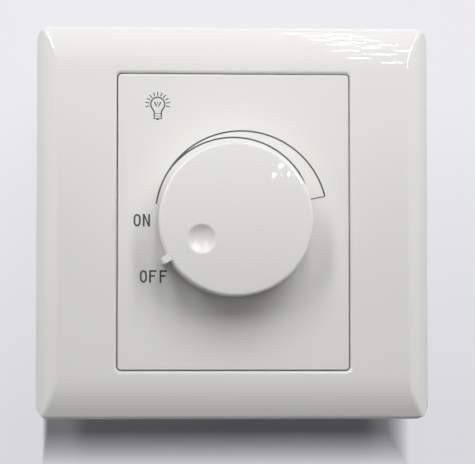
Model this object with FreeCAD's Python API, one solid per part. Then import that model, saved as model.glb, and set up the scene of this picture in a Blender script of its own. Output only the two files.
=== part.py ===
import FreeCAD, Part
import math
import os

from FreeCAD import Vector

# Rotary dimmer switch for a square wall box, built piece by piece, in millimetres.
# x runs to the right and z upwards, as the plate is seen on its wall. The wall's face is the plane y = 0.
# Depths are counted from the wall towards the room: a depth d lies at y = -d, and one below 0 is in the box.

# Clip-on cover frame
PLATE = 86.0             # side of the square plate
FRAME_DEPTH = 9.6        # wall to the frame's front
FRAME_WALL = 2.0
BAND_WIDTH = 9.2         # curved band along the top and the bottom edge
BAND_RADIUS = 18.0
BAND_EDGE_RADIUS = 1.4   # where the band turns into the rim
SIDE_RUN = 4.7           # curved side in plan, from the ridge to the edge
SIDE_RADIUS = 8.4
SIDE_LEAN = 20.0         # slope of the side where it leaves the front, in degrees
RIDGE_RADIUS = 1.2       # softened ridge between the front and the side
PLATE_CORNER = 3.2       # corner radius in plan
INSIDE_CORNER = 0.4
WINDOW_EDGE_RADIUS = 0.8
SKIRT_WALL = 1.5         # collar behind the window
SKIRT_LENGTH = 4.0

# Hooks that hold the cover frame on the base
HOOK_WIDTH = 8.0
HOOK_WALL = 1.4
HOOK_SPREAD = 44.0       # between the two hooks of one edge
HOOK_INSET = 3.6         # cavity wall to the hook's outer face
HOOK_TIP = 0.6           # wall to the hook's tip
BARB_REACH = 0.8
BARB_HEIGHT = 0.9
HOOK_PLAY = 0.2

# Mounting base behind the frame
BASE_WALL = 2.4
BASE_CORNER = 3.0
BASE_PLAY = 0.5          # base rim to the frame's cavity
RIM_WALL = 1.4
RIM_HEIGHT = 1.4         # rim above the base plate
SCREW_SPACING = 60.3     # two fixing screws of the wall box
SLOT_WIDTH = 4.4
SLOT_LENGTH = 8.0
PAD_MARGIN = 1.6         # raised pad round a fixing slot
PAD_HEIGHT = 0.5
SEAT_GAP = 24.0          # break in the seat rim beside each fixing slot

# Front panel
PANEL_WIDTH = 50.5
PANEL_HEIGHT = 64.6
PANEL_CORNER = 0.8
PANEL_GAP = 0.18         # panel to the frame's window
PANEL_RECESS = 0.2       # panel front behind the frame's front
PANEL_WALL = 2.2
PANEL_EDGE_RADIUS = 0.3
PANEL_SKIRT_WALL = 1.4
PANEL_SKIRT_INSET = 0.4
POST_PLAY = 0.3          # post to the housing's wall
POST_LENGTH = 6.8
PILOT_DEPTH = 5.2

# Knob
KNOB_GAP = 0.6           # knob to panel
KNOB_HEIGHT = 12.6
KNOB_BASE_RADIUS = 16.6
KNOB_FRONT_RADIUS = 16.5
KNOB_EDGE_RADIUS = 0.8
KNOB_DOME_RADIUS = 125.0 # the face is slightly domed
KNOB_FOOT_RADIUS = 0.3
KNOB_WALL = 1.7
KNOB_FACE_WALL = 2.4
HUB_RADIUS = 5.4
HUB_GAP = 0.5            # hub to the shaft's ring
KNOB_RIBS = 6
KNOB_RIB_WALL = 1.2
KNOB_RIB_SETBACK = 2.0
POINTER_ANGLE = 209.9    # at OFF, counted anticlockwise from the right
POINTER_WIDTH = 1.55
POINTER_REACH = 1.6      # beyond the knob's side
POINTER_SETBACK = 0.15   # below the rim of the knob's face
POINTER_ROUND = 0.45
DIMPLE_OFFSET = 8.8      # finger dimple, from the axis
DIMPLE_RADIUS = 3.1
DIMPLE_DEPTH = 1.2
DIMPLE_EDGE_RADIUS = 0.5
TURN = 198.0             # from OFF to brightest, clockwise

# Potentiometer
SHAFT_RADIUS = 3.0
SHAFT_FLAT = 1.5
SHAFT_PLAY = 0.04        # running clearance in the bushing
BORE_PLAY = 0.03         # push fit of the knob on the shaft
SHAFT_GRIP = 6.6         # length of shaft held in the hub
COLLAR_RADIUS = 4.2
COLLAR_WALL = 0.8
COLLAR_PLAY = 0.06
TAIL_RADIUS = 2.0
BUSHING_RADIUS = 3.5
BUSHING_STANDOUT = 1.0   # bushing beyond the nut
NUT_FLATS = 10.0
NUT_HEIGHT = 2.0
WASHER_RADIUS = 5.6
WASHER_WALL = 0.5
THREAD_PLAY = 0.05
PANEL_HOLE_PLAY = 0.2
RING_RADIUS = 4.4
RING_WALL = 0.6
RING_GROOVE = 0.6
RING_OPENING = 3.4
POT_PLATE_WALL = 1.2
TAB_OFFSET = 7.0         # locating tab that stops the case turning in the panel
TAB_RADIUS = 0.9
TAB_HEIGHT = 1.2
CAN_RADIUS = 8.5
CAN_DEPTH = 6.4
CAN_WALL = 0.5
WAFER_WALL = 1.2
WAFER_PLAY = 0.1
TONGUE_WIDTH = 14.0
TONGUE_REACH = 3.6
LUG_PITCH = 5.0
LUG_WIDTH = 1.2
LUG_WALL = 0.5
ROTOR_RADIUS = 7.2
ROTOR_WALL = 1.8
STOP_WIDTH = 1.4         # radial width of the stops
STOP_HEIGHT = 0.8
STOP_LUG_ANGLE = 24.0
STOP_PLAY_ANGLE = 1.0
WIPER_WALL = 0.3
WIPER_RING_RADIUS = 4.4
WIPER_REACH = 6.4
WIPER_FINGER = 0.9
WIPER_SPLAY = 16.0       # between the two fingers
WIPER_LIFT = 0.06        # finger tip above the track

# Switch behind the potentiometer
SWITCH_DEPTH = 6.4
SWITCH_WALL = 1.0
FOOT_RADIUS = 0.9
FOOT_OFFSET = 6.4        # from the axis
FOOT_ANGLES = (90.0, 210.0, 330.0)
FOOT_HEIGHT = 1.2
CAM_RADIUS = 3.3
CAM_NOSE = 4.75
CAM_NOSE_ANGLE = 26.0
CAM_DEPTH = 3.4
CAM_SETBACK = 1.0
LEAF_WALL = 0.25
LEAF_LIFT = 0.18         # leaf above the cam's nose
CONTACT_SPREAD = 9.0
CONTACT_RADIUS = 0.6
CONTACT_GAP = 0.5

# Rear housing and its screws
HOUSING_WIDTH = 46.0
HOUSING_HEIGHT = 56.0
HOUSING_DEPTH = 27.0     # behind the wall's face
HOUSING_WALL = 1.5
HOUSING_CORNER = 2.0
HOUSING_EDGE_RADIUS = 1.0
HOUSING_PLAY = 0.25      # housing in the base's opening
FLANGE_WALL = 1.6
FLANGE_INSET = 0.2
CLIP_WIDTH = 12.0
CLIP_REACH = 0.8
CLIP_HEIGHT = 1.0
CLIP_PLAY = 0.1
COLUMN_RADIUS = 3.9
COLUMN_INSET = 0.1
SEAT_DEPTH = 8.4         # screw seat below the column's top
WELL_RADIUS = 2.55
CASE_SCREW_RADIUS = 1.25
CASE_SCREW_PLAY = 0.25
CASE_SCREW_LENGTH = 13.0
CASE_HEAD_RADIUS = 2.2
CASE_HEAD_HEIGHT = 1.6
DRIVE_WIDTH = 0.6        # driver slots in the screw heads
DRIVE_DEPTH = 0.8
PILOT_PLAY = 0.05
VENT_COUNT = 7
VENT_WIDTH = 1.8
VENT_LENGTH = 15.0
VENT_PITCH = 4.4
VENT_RISE = 13.0         # vent centre above the housing's centre
LEDGE_REACH = 2.0
LEDGE_WIDTH = 7.0
LEDGE_SPREAD = 26.0
LEDGE_WALL = 1.6

# Terminal bay at the foot of the housing
BAY_WIDTH = 27.0
BAY_HEIGHT = 12.0
BAY_FLOOR_GAP = 2.4      # board to bay floor
PARTITION_WALL = 1.6
PARTITION_SETBACK = 2.0
TERMINAL_SPREAD = 14.4
TERMINAL_WIDTH = 8.0
TERMINAL_HEIGHT = 9.0
TERMINAL_DEPTH = 8.0
WIRE_RADIUS = 1.9
WIRE_DEPTH = 7.5
TAIL_WIDTH = 3.0
TAIL_WALL = 0.8
TAIL_TIP = 0.5
CLAMP_RADIUS = 1.6
CLAMP_HEAD_RADIUS = 2.9
CLAMP_HEAD_HEIGHT = 2.0
CLAMP_STANDOFF = 1.6     # head above the block while the clamp is open
CLAMP_TIP_GAP = 0.3      # screw tip to the wire bore
TERMINAL_PLAY = 0.15

# Circuit board and the parts on it
BOARD_WALL = 1.6
BOARD_PLAY = 0.4
LEAD_RADIUS = 0.35
LEAD_PLAY = 0.1
LEAD_TIP = 0.6
SINK_SIDE = 0.1          # sink to the screw column beside it
SINK_LENGTH = 16.8
SINK_TOP_GAP = 2.4       # sink to the housing's top wall
SINK_WIDTH = 15.0
SINK_HEIGHT = 9.0
SINK_WALL = 1.5
TRIAC_WIDTH = 10.0
TRIAC_LENGTH = 15.4
TRIAC_BODY = 9.0
TRIAC_HEIGHT = 4.5
TRIAC_TAB_WALL = 1.3
TRIAC_HOLE = 2.8         # tab end to its hole
TRIAC_SETBACK = 0.6      # tab end inside the sink's end
TRIAC_PITCH = 2.54
TRIAC_LEAD_RUN = 2.0
SINK_SCREW_RADIUS = 1.5
SINK_SCREW_PLAY = 0.1
SINK_HEAD_RADIUS = 2.6
SINK_HEAD_HEIGHT = 1.8
SINK_NUT_FLATS = 5.5
SINK_NUT_HEIGHT = 2.2
SINK_SCREW_TIP = 0.8
CHOKE_SIDE = 1.5         # winding to the housing's side wall
CHOKE_RADIUS = 6.6
CHOKE_BORE = 3.9
CHOKE_HEIGHT = 5.4
CHOKE_WIRE = 0.8
CHOKE_STANDOFF = 0.6
CHOKE_TURN = 300.0
CHOKE_PLAY = 0.05
SUPPRESSOR_SIDE = 0.4    # capacitor to the board's ledge
SUPPRESSOR_FOOT_GAP = 2.4
SUPPRESSOR_WIDTH = 13.0
SUPPRESSOR_THICKNESS = 6.0
SUPPRESSOR_HEIGHT = 11.0
SUPPRESSOR_PITCH = 10.0
TIMING_SIDE = 3.4        # capacitor to the housing's side wall
TIMING_WIDTH = 7.2
TIMING_THICKNESS = 3.6
TIMING_HEIGHT = 7.0
TIMING_PITCH = 5.0
CAPACITOR_ROUND = 0.6
FUSE_SIDE = 2.5          # outer lead to the housing's side wall
FUSE_RADIUS = 1.6
FUSE_LENGTH = 8.6
FUSE_PITCH = 12.0
RESISTOR_SIDE = 3.2      # outer lead to the housing's side wall
RESISTOR_COUNT = 2
RESISTOR_RADIUS = 1.2
RESISTOR_LENGTH = 6.4
RESISTOR_PITCH = 9.0
DIAC_SIDE = 3.7          # outer lead to the housing's side wall
DIAC_RADIUS = 0.95
DIAC_LENGTH = 4.2
DIAC_PITCH = 7.6

OVERCUT = 1.0            # how far a cutter runs past the face that it cuts
NEAR = 0.01              # how close an edge lies to the place where it is looked for
ALONG = 0.99             # share of a direction that counts as running along it

# Stations in depth
PANEL_FRONT = FRAME_DEPTH - PANEL_RECESS
PANEL_BACK = PANEL_FRONT - PANEL_WALL
FLANGE_FRONT = BASE_WALL + FLANGE_WALL
WASHER_FRONT = PANEL_FRONT + WASHER_WALL
NUT_FRONT = WASHER_FRONT + NUT_HEIGHT
BUSHING_FRONT = NUT_FRONT + BUSHING_STANDOUT
RING_BACK = BUSHING_FRONT + COLLAR_PLAY
RING_FRONT = RING_BACK + RING_WALL
HUB_BACK = RING_FRONT + HUB_GAP
SHAFT_FRONT = HUB_BACK + SHAFT_GRIP
KNOB_BACK = PANEL_FRONT + KNOB_GAP
KNOB_FRONT = KNOB_BACK + KNOB_HEIGHT
KNOB_ROOF = KNOB_FRONT - KNOB_FACE_WALL
PLATE_BACK = PANEL_BACK - POT_PLATE_WALL
COLLAR_FRONT = PLATE_BACK - COLLAR_PLAY
COLLAR_BACK = COLLAR_FRONT - COLLAR_WALL
ROTOR_FRONT = COLLAR_BACK
ROTOR_BACK = ROTOR_FRONT - ROTOR_WALL
CAN_BACK = PLATE_BACK - CAN_DEPTH
WAFER_BACK = CAN_BACK + CAN_WALL
WAFER_FRONT = WAFER_BACK + WAFER_WALL
SWITCH_BACK = CAN_BACK - SWITCH_DEPTH
CAM_FRONT = CAN_BACK - CAM_SETBACK
CAM_BACK = CAM_FRONT - CAM_DEPTH
BOARD_FRONT = SWITCH_BACK - FOOT_HEIGHT
BOARD_BACK = BOARD_FRONT - BOARD_WALL
POST_END = PANEL_BACK - POST_LENGTH
SCREW_SEAT = POST_END - SEAT_DEPTH
BAY_FLOOR_FRONT = BOARD_BACK - BAY_FLOOR_GAP
BAY_FLOOR_BACK = BAY_FLOOR_FRONT - HOUSING_WALL
TERMINAL_BACK = BAY_FLOOR_BACK - TERMINAL_DEPTH
WIRE_DEPTH_STATION = BAY_FLOOR_BACK - TERMINAL_DEPTH / 2

# Distances from the knob's axis
KNOB_INNER = min(KNOB_BASE_RADIUS, KNOB_FRONT_RADIUS) - KNOB_WALL
POINTER_END = max(KNOB_BASE_RADIUS, KNOB_FRONT_RADIUS) + POINTER_REACH

# Places in the plane of the wall
AXIS_Z = 0.0             # the knob turns about the plate's centre
HALF = PLATE / 2
BAND_START = HALF - BAND_WIDTH
RIDGE_X = HALF - SIDE_RUN
SIDE_CENTRE_X = RIDGE_X - SIDE_RADIUS * math.sin(math.radians(SIDE_LEAN))
SIDE_CENTRE_D = FRAME_DEPTH - SIDE_RADIUS * math.cos(math.radians(SIDE_LEAN))
WINDOW_WIDTH = PANEL_WIDTH + 2 * PANEL_GAP
WINDOW_HEIGHT = PANEL_HEIGHT + 2 * PANEL_GAP
WINDOW_CORNER = PANEL_CORNER + PANEL_GAP
FLANGE_WIDTH = PANEL_WIDTH - 2 * FLANGE_INSET
FLANGE_HEIGHT = PANEL_HEIGHT - 2 * FLANGE_INSET
OPENING_WIDTH = HOUSING_WIDTH + 2 * HOUSING_PLAY
OPENING_HEIGHT = HOUSING_HEIGHT + 2 * HOUSING_PLAY
COLUMN_X = HOUSING_WIDTH / 2 - COLUMN_RADIUS - COLUMN_INSET
COLUMN_Z = HOUSING_HEIGHT / 2 - COLUMN_RADIUS - COLUMN_INSET
POST_RADIUS = COLUMN_RADIUS + COLUMN_INSET - HOUSING_WALL - POST_PLAY
COLUMNS = [(sx * COLUMN_X, sz * COLUMN_Z) for sx in (-1, 1) for sz in (-1, 1)]
HOUSING_FOOT = -HOUSING_HEIGHT / 2
BAY_TOP = HOUSING_FOOT + BAY_HEIGHT
TERMINAL_PLACES = [-TERMINAL_SPREAD / 2, TERMINAL_SPREAD / 2]
TERMINAL_MID = BAY_TOP - TERMINAL_HEIGHT / 2
LUG_PLACES = [-LUG_PITCH, 0.0, LUG_PITCH]
LUG_Z = AXIS_Z - CAN_RADIUS - TONGUE_REACH / 2
CONTACT_Z = AXIS_Z + CAM_NOSE + LEAF_LIFT - CONTACT_GAP
HOOK_OUTER = HALF - FRAME_WALL - HOOK_INSET
INSIDE_X = HOUSING_WIDTH / 2 - HOUSING_WALL
INSIDE_TOP = HOUSING_HEIGHT / 2 - HOUSING_WALL
BAY_ROOF = BAY_TOP + HOUSING_WALL

# Parts at the left of the board, from the bay up: suppression and timing capacitor, diac, heat sink
SINK_LEFT = COLUMN_RADIUS - COLUMN_X + SINK_SIDE
SINK_FOOT = INSIDE_TOP - SINK_TOP_GAP - SINK_WIDTH
SUPPRESSOR_X = LEDGE_REACH - INSIDE_X + SUPPRESSOR_SIDE + SUPPRESSOR_WIDTH / 2
SUPPRESSOR_Z = BAY_ROOF + SUPPRESSOR_FOOT_GAP + SUPPRESSOR_THICKNESS / 2
SUPPRESSOR_TOP = SUPPRESSOR_Z + SUPPRESSOR_THICKNESS / 2
LEFT_GAP = (SINK_FOOT - SUPPRESSOR_TOP - TIMING_THICKNESS - 2 * DIAC_RADIUS) / 3
TIMING_X = TIMING_SIDE + TIMING_WIDTH / 2 - INSIDE_X
TIMING_Z = SUPPRESSOR_TOP + LEFT_GAP + TIMING_THICKNESS / 2
DIAC_X = DIAC_SIDE + DIAC_PITCH / 2 - INSIDE_X
DIAC_Z = SINK_FOOT - LEFT_GAP - DIAC_RADIUS
TRIAC_LEFT = SINK_LEFT + TRIAC_SETBACK
TRIAC_MID = SINK_FOOT + SINK_WIDTH / 2
TRIAC_LEAD_X = TRIAC_LEFT + TRIAC_LENGTH + TRIAC_LEAD_RUN
SINK_BACK = BOARD_BACK - SINK_WALL
TAB_BACK = SINK_BACK - TRIAC_TAB_WALL
SINK_SCREW_X = TRIAC_LEFT + TRIAC_HOLE

# Parts at the right of the board, evenly spaced from the bay up to the screw column: choke, fuse, resistors
WOUND_RADIUS = CHOKE_RADIUS + CHOKE_WIRE
RIGHT_TOP = COLUMN_Z - COLUMN_RADIUS
RIGHT_ROOM = RIGHT_TOP - BAY_ROOF - 2 * (WOUND_RADIUS + FUSE_RADIUS + RESISTOR_COUNT * RESISTOR_RADIUS)
RIGHT_GAP = RIGHT_ROOM / (RESISTOR_COUNT + 3)
RESISTOR_STEP = 2 * RESISTOR_RADIUS + RIGHT_GAP
CHOKE_X = INSIDE_X - CHOKE_SIDE - WOUND_RADIUS
CHOKE_Z = BAY_ROOF + RIGHT_GAP + WOUND_RADIUS
FUSE_X = INSIDE_X - FUSE_SIDE - FUSE_PITCH / 2
FUSE_Z = CHOKE_Z + WOUND_RADIUS + RIGHT_GAP + FUSE_RADIUS
RESISTOR_X = INSIDE_X - RESISTOR_SIDE - RESISTOR_PITCH / 2
RESISTOR_Z = FUSE_Z + FUSE_RADIUS + RIGHT_GAP + RESISTOR_RADIUS


def pair(x, z, pitch):
    """Two lead places, side by side."""
    return [(x - pitch / 2, z), (x + pitch / 2, z)]


RESISTOR_PLACES = [RESISTOR_Z + i * RESISTOR_STEP for i in range(RESISTOR_COUNT)]
CHOKE_LEADS = pair(CHOKE_X, CHOKE_Z, 2 * (CHOKE_RADIUS - CHOKE_WIRE))
TRIAC_LEADS = [(TRIAC_LEAD_X, TRIAC_MID + i * TRIAC_PITCH) for i in (-1, 0, 1)]
LEAD_PLACES = (
    pair(SUPPRESSOR_X, SUPPRESSOR_Z, SUPPRESSOR_PITCH)
    + pair(TIMING_X, TIMING_Z, TIMING_PITCH)
    + pair(FUSE_X, FUSE_Z, FUSE_PITCH)
    + pair(DIAC_X, DIAC_Z, DIAC_PITCH)
    + [place for z in RESISTOR_PLACES for place in pair(RESISTOR_X, z, RESISTOR_PITCH)]
    + CHOKE_LEADS
    + TRIAC_LEADS
)


# Plain forms

def at(x, d, z):
    """The point at depth d."""
    return Vector(x, -d, z)


def block(x, d, z):
    """A box between a low and a high value of x, of depth and of z."""
    return Part.makeBox(x[1] - x[0], d[1] - d[0], z[1] - z[0], at(x[0], d[1], z[0]))


def span(middle, width):
    return (middle - width / 2, middle + width / 2)


def rod(radius, x, z, d_low, d_high):
    """A cylinder that points at the room."""
    return Part.makeCylinder(radius, d_high - d_low, at(x, d_low, z), Vector(0, -1, 0))


def bar(radius, x_low, x_high, d, z):
    """A cylinder that runs from left to right."""
    return Part.makeCylinder(radius, x_high - x_low, at(x_low, d, z), Vector(1, 0, 0))


def slab(width, height, corner, d_low, d_high):
    """A plate with rounded corners in plan."""
    plate = block(span(0, width), (d_low, d_high), span(0, height))
    upright = [e for e in plate.Edges if abs(e.tangentAt(e.FirstParameter).y) > ALONG]
    return plate.makeFillet(corner, upright)


def obround(length, width, d_low, d_high, x, z):
    """A plate with round ends, lying from left to right."""
    reach = (length - width) / 2
    body = block(span(x, length - width), (d_low, d_high), span(z, width))
    ends = [rod(width / 2, x + side * reach, z, d_low, d_high) for side in (-1, 1)]
    return body.fuse(ends).removeSplitter()


def hexagon(flats, x, z, d_low, d_high):
    radius = flats / math.sqrt(3)
    corners = [at(x + radius * math.cos(math.radians(60 * i)), d_low,
                  z + radius * math.sin(math.radians(60 * i))) for i in range(7)]
    return Part.Face(Part.makePolygon(corners)).extrude(at(0, d_high - d_low, 0))


def on_axis(radius, angle, d):
    """A point round the knob's axis; the angle runs anticlockwise from the right."""
    turn = math.radians(angle)
    return at(radius * math.cos(turn), d, AXIS_Z + radius * math.sin(turn))


def sector(r_in, r_out, a_low, a_high, d_low, d_high):
    """A piece of a ring round the knob's axis."""
    middle = (a_low + a_high) / 2
    edges = [
        Part.Arc(*[on_axis(r_out, a, d_low) for a in (a_low, middle, a_high)]).toShape(),
        Part.makeLine(on_axis(r_out, a_high, d_low), on_axis(r_in, a_high, d_low)),
        Part.Arc(*[on_axis(r_in, a, d_low) for a in (a_high, middle, a_low)]).toShape(),
        Part.makeLine(on_axis(r_in, a_low, d_low), on_axis(r_out, a_low, d_low)),
    ]
    return Part.Face(Part.Wire(edges)).extrude(at(0, d_high - d_low, 0))


def turned(shape, angle):
    """A copy turned about the knob's axis, anticlockwise as seen from the room."""
    copy = shape.copy()
    copy.rotate(at(0, 0, AXIS_Z), Vector(0, -1, 0), angle)
    return copy


def driver_slot(x, z, head_back, radius):
    """Cutter for the cross in a screw head that faces the box."""
    depth = (head_back - OVERCUT, head_back + DRIVE_DEPTH)
    across = block(span(x, 2 * radius), depth, span(z, DRIVE_WIDTH))
    upright = block(span(x, DRIVE_WIDTH), depth, span(z, 2 * radius))
    return across.fuse(upright)


# Cover frame

def band_section(half, front, radius, edge):
    """Vertical section of the plate: flat, then a wide arc and a small edge round at the top and bottom."""
    centre = front - radius
    edge_z = half - edge
    edge_d = centre + math.sqrt((radius - edge) ** 2 - (edge_z - BAND_START) ** 2)
    lean = math.atan2(edge_z - BAND_START, edge_d - centre)
    edge_lean = (lean + math.pi / 2) / 2

    def point(side, z, d):
        return at(0, d, side * z)

    def rounds(side):
        start = point(side, BAND_START, front)
        middle = point(side, BAND_START + radius * math.sin(lean / 2), centre + radius * math.cos(lean / 2))
        join = point(side, BAND_START + radius * math.sin(lean), centre + radius * math.cos(lean))
        turn = point(side, edge_z + edge * math.sin(edge_lean), edge_d + edge * math.cos(edge_lean))
        end = point(side, half, edge_d)
        return [
            Part.Arc(start, middle, join).toShape(),
            Part.Arc(join, turn, end).toShape(),
            Part.makeLine(end, point(side, half, 0)),
        ]

    flat = Part.makeLine(point(-1, BAND_START, front), point(1, BAND_START, front))
    back = Part.makeLine(point(-1, half, 0), point(1, half, 0))
    wire = Part.Wire(Part.__sortEdges__([flat, back] + rounds(1) + rounds(-1)))
    return Part.Face(wire)


def side_section(half, front, radius):
    """Level section of the plate: flat, then an arc from the ridge down to the left and the right edge."""
    lean = math.acos((front - SIDE_CENTRE_D) / radius)
    steep = math.asin((half - SIDE_CENTRE_X) / radius)

    def point(side, angle):
        x = SIDE_CENTRE_X + radius * math.sin(angle)
        return at(side * x, SIDE_CENTRE_D + radius * math.cos(angle), 0)

    def rounds(side):
        end = point(side, steep)
        return [
            Part.Arc(point(side, lean), point(side, (lean + steep) / 2), end).toShape(),
            Part.makeLine(end, at(side * half, 0, 0)),
        ]

    flat = Part.makeLine(point(-1, lean), point(1, lean))
    back = Part.makeLine(at(-half, 0, 0), at(half, 0, 0))
    wire = Part.Wire(Part.__sortEdges__([flat, back] + rounds(1) + rounds(-1)))
    return Part.Face(wire)


def plate_form(inset, edge):
    """The plate's curved form, or its inside when the inset is a wall."""
    half = HALF - inset
    front = FRAME_DEPTH - inset
    band = band_section(half, front, BAND_RADIUS - inset, edge)
    band.translate(Vector(-half, 0, 0))
    side = side_section(half, front, SIDE_RADIUS - inset)
    side.translate(Vector(0, 0, -half))
    return band.extrude(Vector(2 * half, 0, 0)).common(side.extrude(Vector(0, 0, 2 * half)))


def ridge_edges(shape):
    """The straight ridge between the front and each curved side; a fillet runs on along the mitres."""
    def on_ridge(edge):
        box = edge.BoundBox
        upright = box.XLength < NEAR and abs(abs(box.Center.x) - RIDGE_X) < NEAR
        return upright and box.YMax < NEAR - FRAME_DEPTH
    return [edge for edge in shape.Edges if on_ridge(edge)]


def cavity_half_width(d):
    """Half the width inside the cover frame at a depth."""
    inner = SIDE_RADIUS - FRAME_WALL
    curve = SIDE_CENTRE_X + math.sqrt(inner ** 2 - (d - SIDE_CENTRE_D) ** 2)
    return min(HALF - FRAME_WALL, curve)


def cavity_depth(z):
    """Depth of the cavity's front under the curved band."""
    inner = BAND_RADIUS - FRAME_WALL
    return FRAME_DEPTH - BAND_RADIUS + math.sqrt(inner ** 2 - max(z - BAND_START, 0) ** 2)


def frame_hook(x):
    """A hook at the top edge: a tongue with a barb that looks outwards."""
    inner = HOOK_OUTER - HOOK_WALL
    root = cavity_depth(HOOK_OUTER) + FRAME_WALL / 2
    catch = HOOK_TIP + BARB_HEIGHT
    outline = [(inner, root), (inner, HOOK_TIP), (HOOK_OUTER, HOOK_TIP),
               (HOOK_OUTER + BARB_REACH, catch), (HOOK_OUTER, catch), (HOOK_OUTER, root), (inner, root)]
    face = Part.Face(Part.makePolygon([at(x - HOOK_WIDTH / 2, d, z) for z, d in outline]))
    return face.extrude(Vector(HOOK_WIDTH, 0, 0))


def mirrored_down(shape):
    return shape.mirror(Vector(0, 0, 0), Vector(0, 0, 1))


def window_edges(shape, width, height, front):
    """The edges round an opening's front."""
    def on_outline(edge):
        box = edge.BoundBox
        across = max(abs(box.XMin), abs(box.XMax))
        along = max(abs(box.ZMin), abs(box.ZMax))
        in_outline = across <= width / 2 + NEAR and along <= height / 2 + NEAR
        return in_outline and box.YMax < NEAR - front
    return [edge for edge in shape.Edges if on_outline(edge)]


def cover_frame():
    window = slab(WINDOW_WIDTH, WINDOW_HEIGHT, WINDOW_CORNER, -OVERCUT, FRAME_DEPTH + OVERCUT)
    skirt = slab(WINDOW_WIDTH + 2 * SKIRT_WALL, WINDOW_HEIGHT + 2 * SKIRT_WALL, WINDOW_CORNER + SKIRT_WALL,
                 FRAME_DEPTH - SKIRT_LENGTH, FRAME_DEPTH - FRAME_WALL / 2)
    form = plate_form(0, BAND_EDGE_RADIUS)
    form = form.makeFillet(RIDGE_RADIUS, ridge_edges(form))
    form = form.common(slab(PLATE, PLATE, PLATE_CORNER, 0, FRAME_DEPTH))
    inside = PLATE - 2 * FRAME_WALL
    hollow = plate_form(FRAME_WALL, INSIDE_CORNER)
    hollow = hollow.common(slab(inside, inside, INSIDE_CORNER, 0, FRAME_DEPTH))
    body = form.cut(hollow).fuse(skirt).cut(window)
    body = body.makeFillet(WINDOW_EDGE_RADIUS, window_edges(body, WINDOW_WIDTH, WINDOW_HEIGHT, FRAME_DEPTH))
    hooks = [frame_hook(side * HOOK_SPREAD / 2) for side in (-1, 1)]
    return body.fuse(hooks + [mirrored_down(hook) for hook in hooks]).removeSplitter()


# Mounting base

def hook_slot(x):
    """Cutter for one catch: a slot for the tongue, and a step behind the base for the barb."""
    width = span(x, HOOK_WIDTH + 2 * HOOK_PLAY)
    tongue = (HOOK_OUTER - HOOK_WALL - HOOK_PLAY, HOOK_OUTER + HOOK_PLAY)
    catch = HOOK_TIP + BARB_HEIGHT + HOOK_PLAY / 2
    slot = block(width, (-OVERCUT, BASE_WALL + RIM_HEIGHT + OVERCUT), tongue)
    step = block(width, (-OVERCUT, catch), (tongue[0], HOOK_OUTER + BARB_REACH + HOOK_PLAY))
    return slot.fuse(step)


def clip_step():
    """Cutter for the step behind the top of the opening, where the housing's clip catches."""
    catch = BASE_WALL - CLIP_HEIGHT + CLIP_PLAY
    top = HOUSING_HEIGHT / 2 + CLIP_REACH + HOUSING_PLAY
    return block(span(0, CLIP_WIDTH + 2 * HOUSING_PLAY), (-OVERCUT, catch), (0, top))


def seat_rim():
    """A low rim that locates the housing's flange, open beside the fixing slots."""
    inner_w = FLANGE_WIDTH + 2 * HOUSING_PLAY
    inner_h = FLANGE_HEIGHT + 2 * HOUSING_PLAY
    top = BASE_WALL + RIM_HEIGHT
    outer = slab(inner_w + 2 * RIM_WALL, inner_h + 2 * RIM_WALL, WINDOW_CORNER + RIM_WALL, BASE_WALL, top)
    inner = slab(inner_w, inner_h, WINDOW_CORNER, BASE_WALL, top)
    gap = block(span(0, PLATE), (BASE_WALL, top), span(0, SEAT_GAP))
    return outer.cut(inner).cut(gap)


def mounting_base():
    top = BASE_WALL + RIM_HEIGHT
    size = 2 * (cavity_half_width(top) - BASE_PLAY)
    plate = slab(size, size, BASE_CORNER, 0, BASE_WALL)
    rim = slab(size, size, BASE_CORNER, BASE_WALL, top)
    rim = rim.cut(slab(size - 2 * RIM_WALL, size - 2 * RIM_WALL, BASE_CORNER - RIM_WALL, BASE_WALL, top))
    body = plate.fuse([rim, seat_rim()])
    pad = (SLOT_LENGTH + 2 * PAD_MARGIN, SLOT_WIDTH + 2 * PAD_MARGIN, BASE_WALL, BASE_WALL + PAD_HEIGHT)
    clear = block(span(0, FLANGE_WIDTH + 2 * HOUSING_PLAY), (BASE_WALL, top), span(0, SEAT_GAP))
    for side in (-1, 1):
        body = body.fuse(obround(*pad, side * SCREW_SPACING / 2, 0).cut(clear))
    for side in (-1, 1):
        slot = obround(SLOT_LENGTH, SLOT_WIDTH, -OVERCUT, top, side * SCREW_SPACING / 2, 0)
        body = body.cut(slot)
    slots = [hook_slot(side * HOOK_SPREAD / 2) for side in (-1, 1)]
    slots += [mirrored_down(slot) for slot in slots]
    opening = slab(OPENING_WIDTH, OPENING_HEIGHT, HOUSING_CORNER + HOUSING_PLAY, -OVERCUT, top)
    step = clip_step()
    return body.cut(slots + [opening, step, mirrored_down(step)]).removeSplitter()


# Front panel

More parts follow.
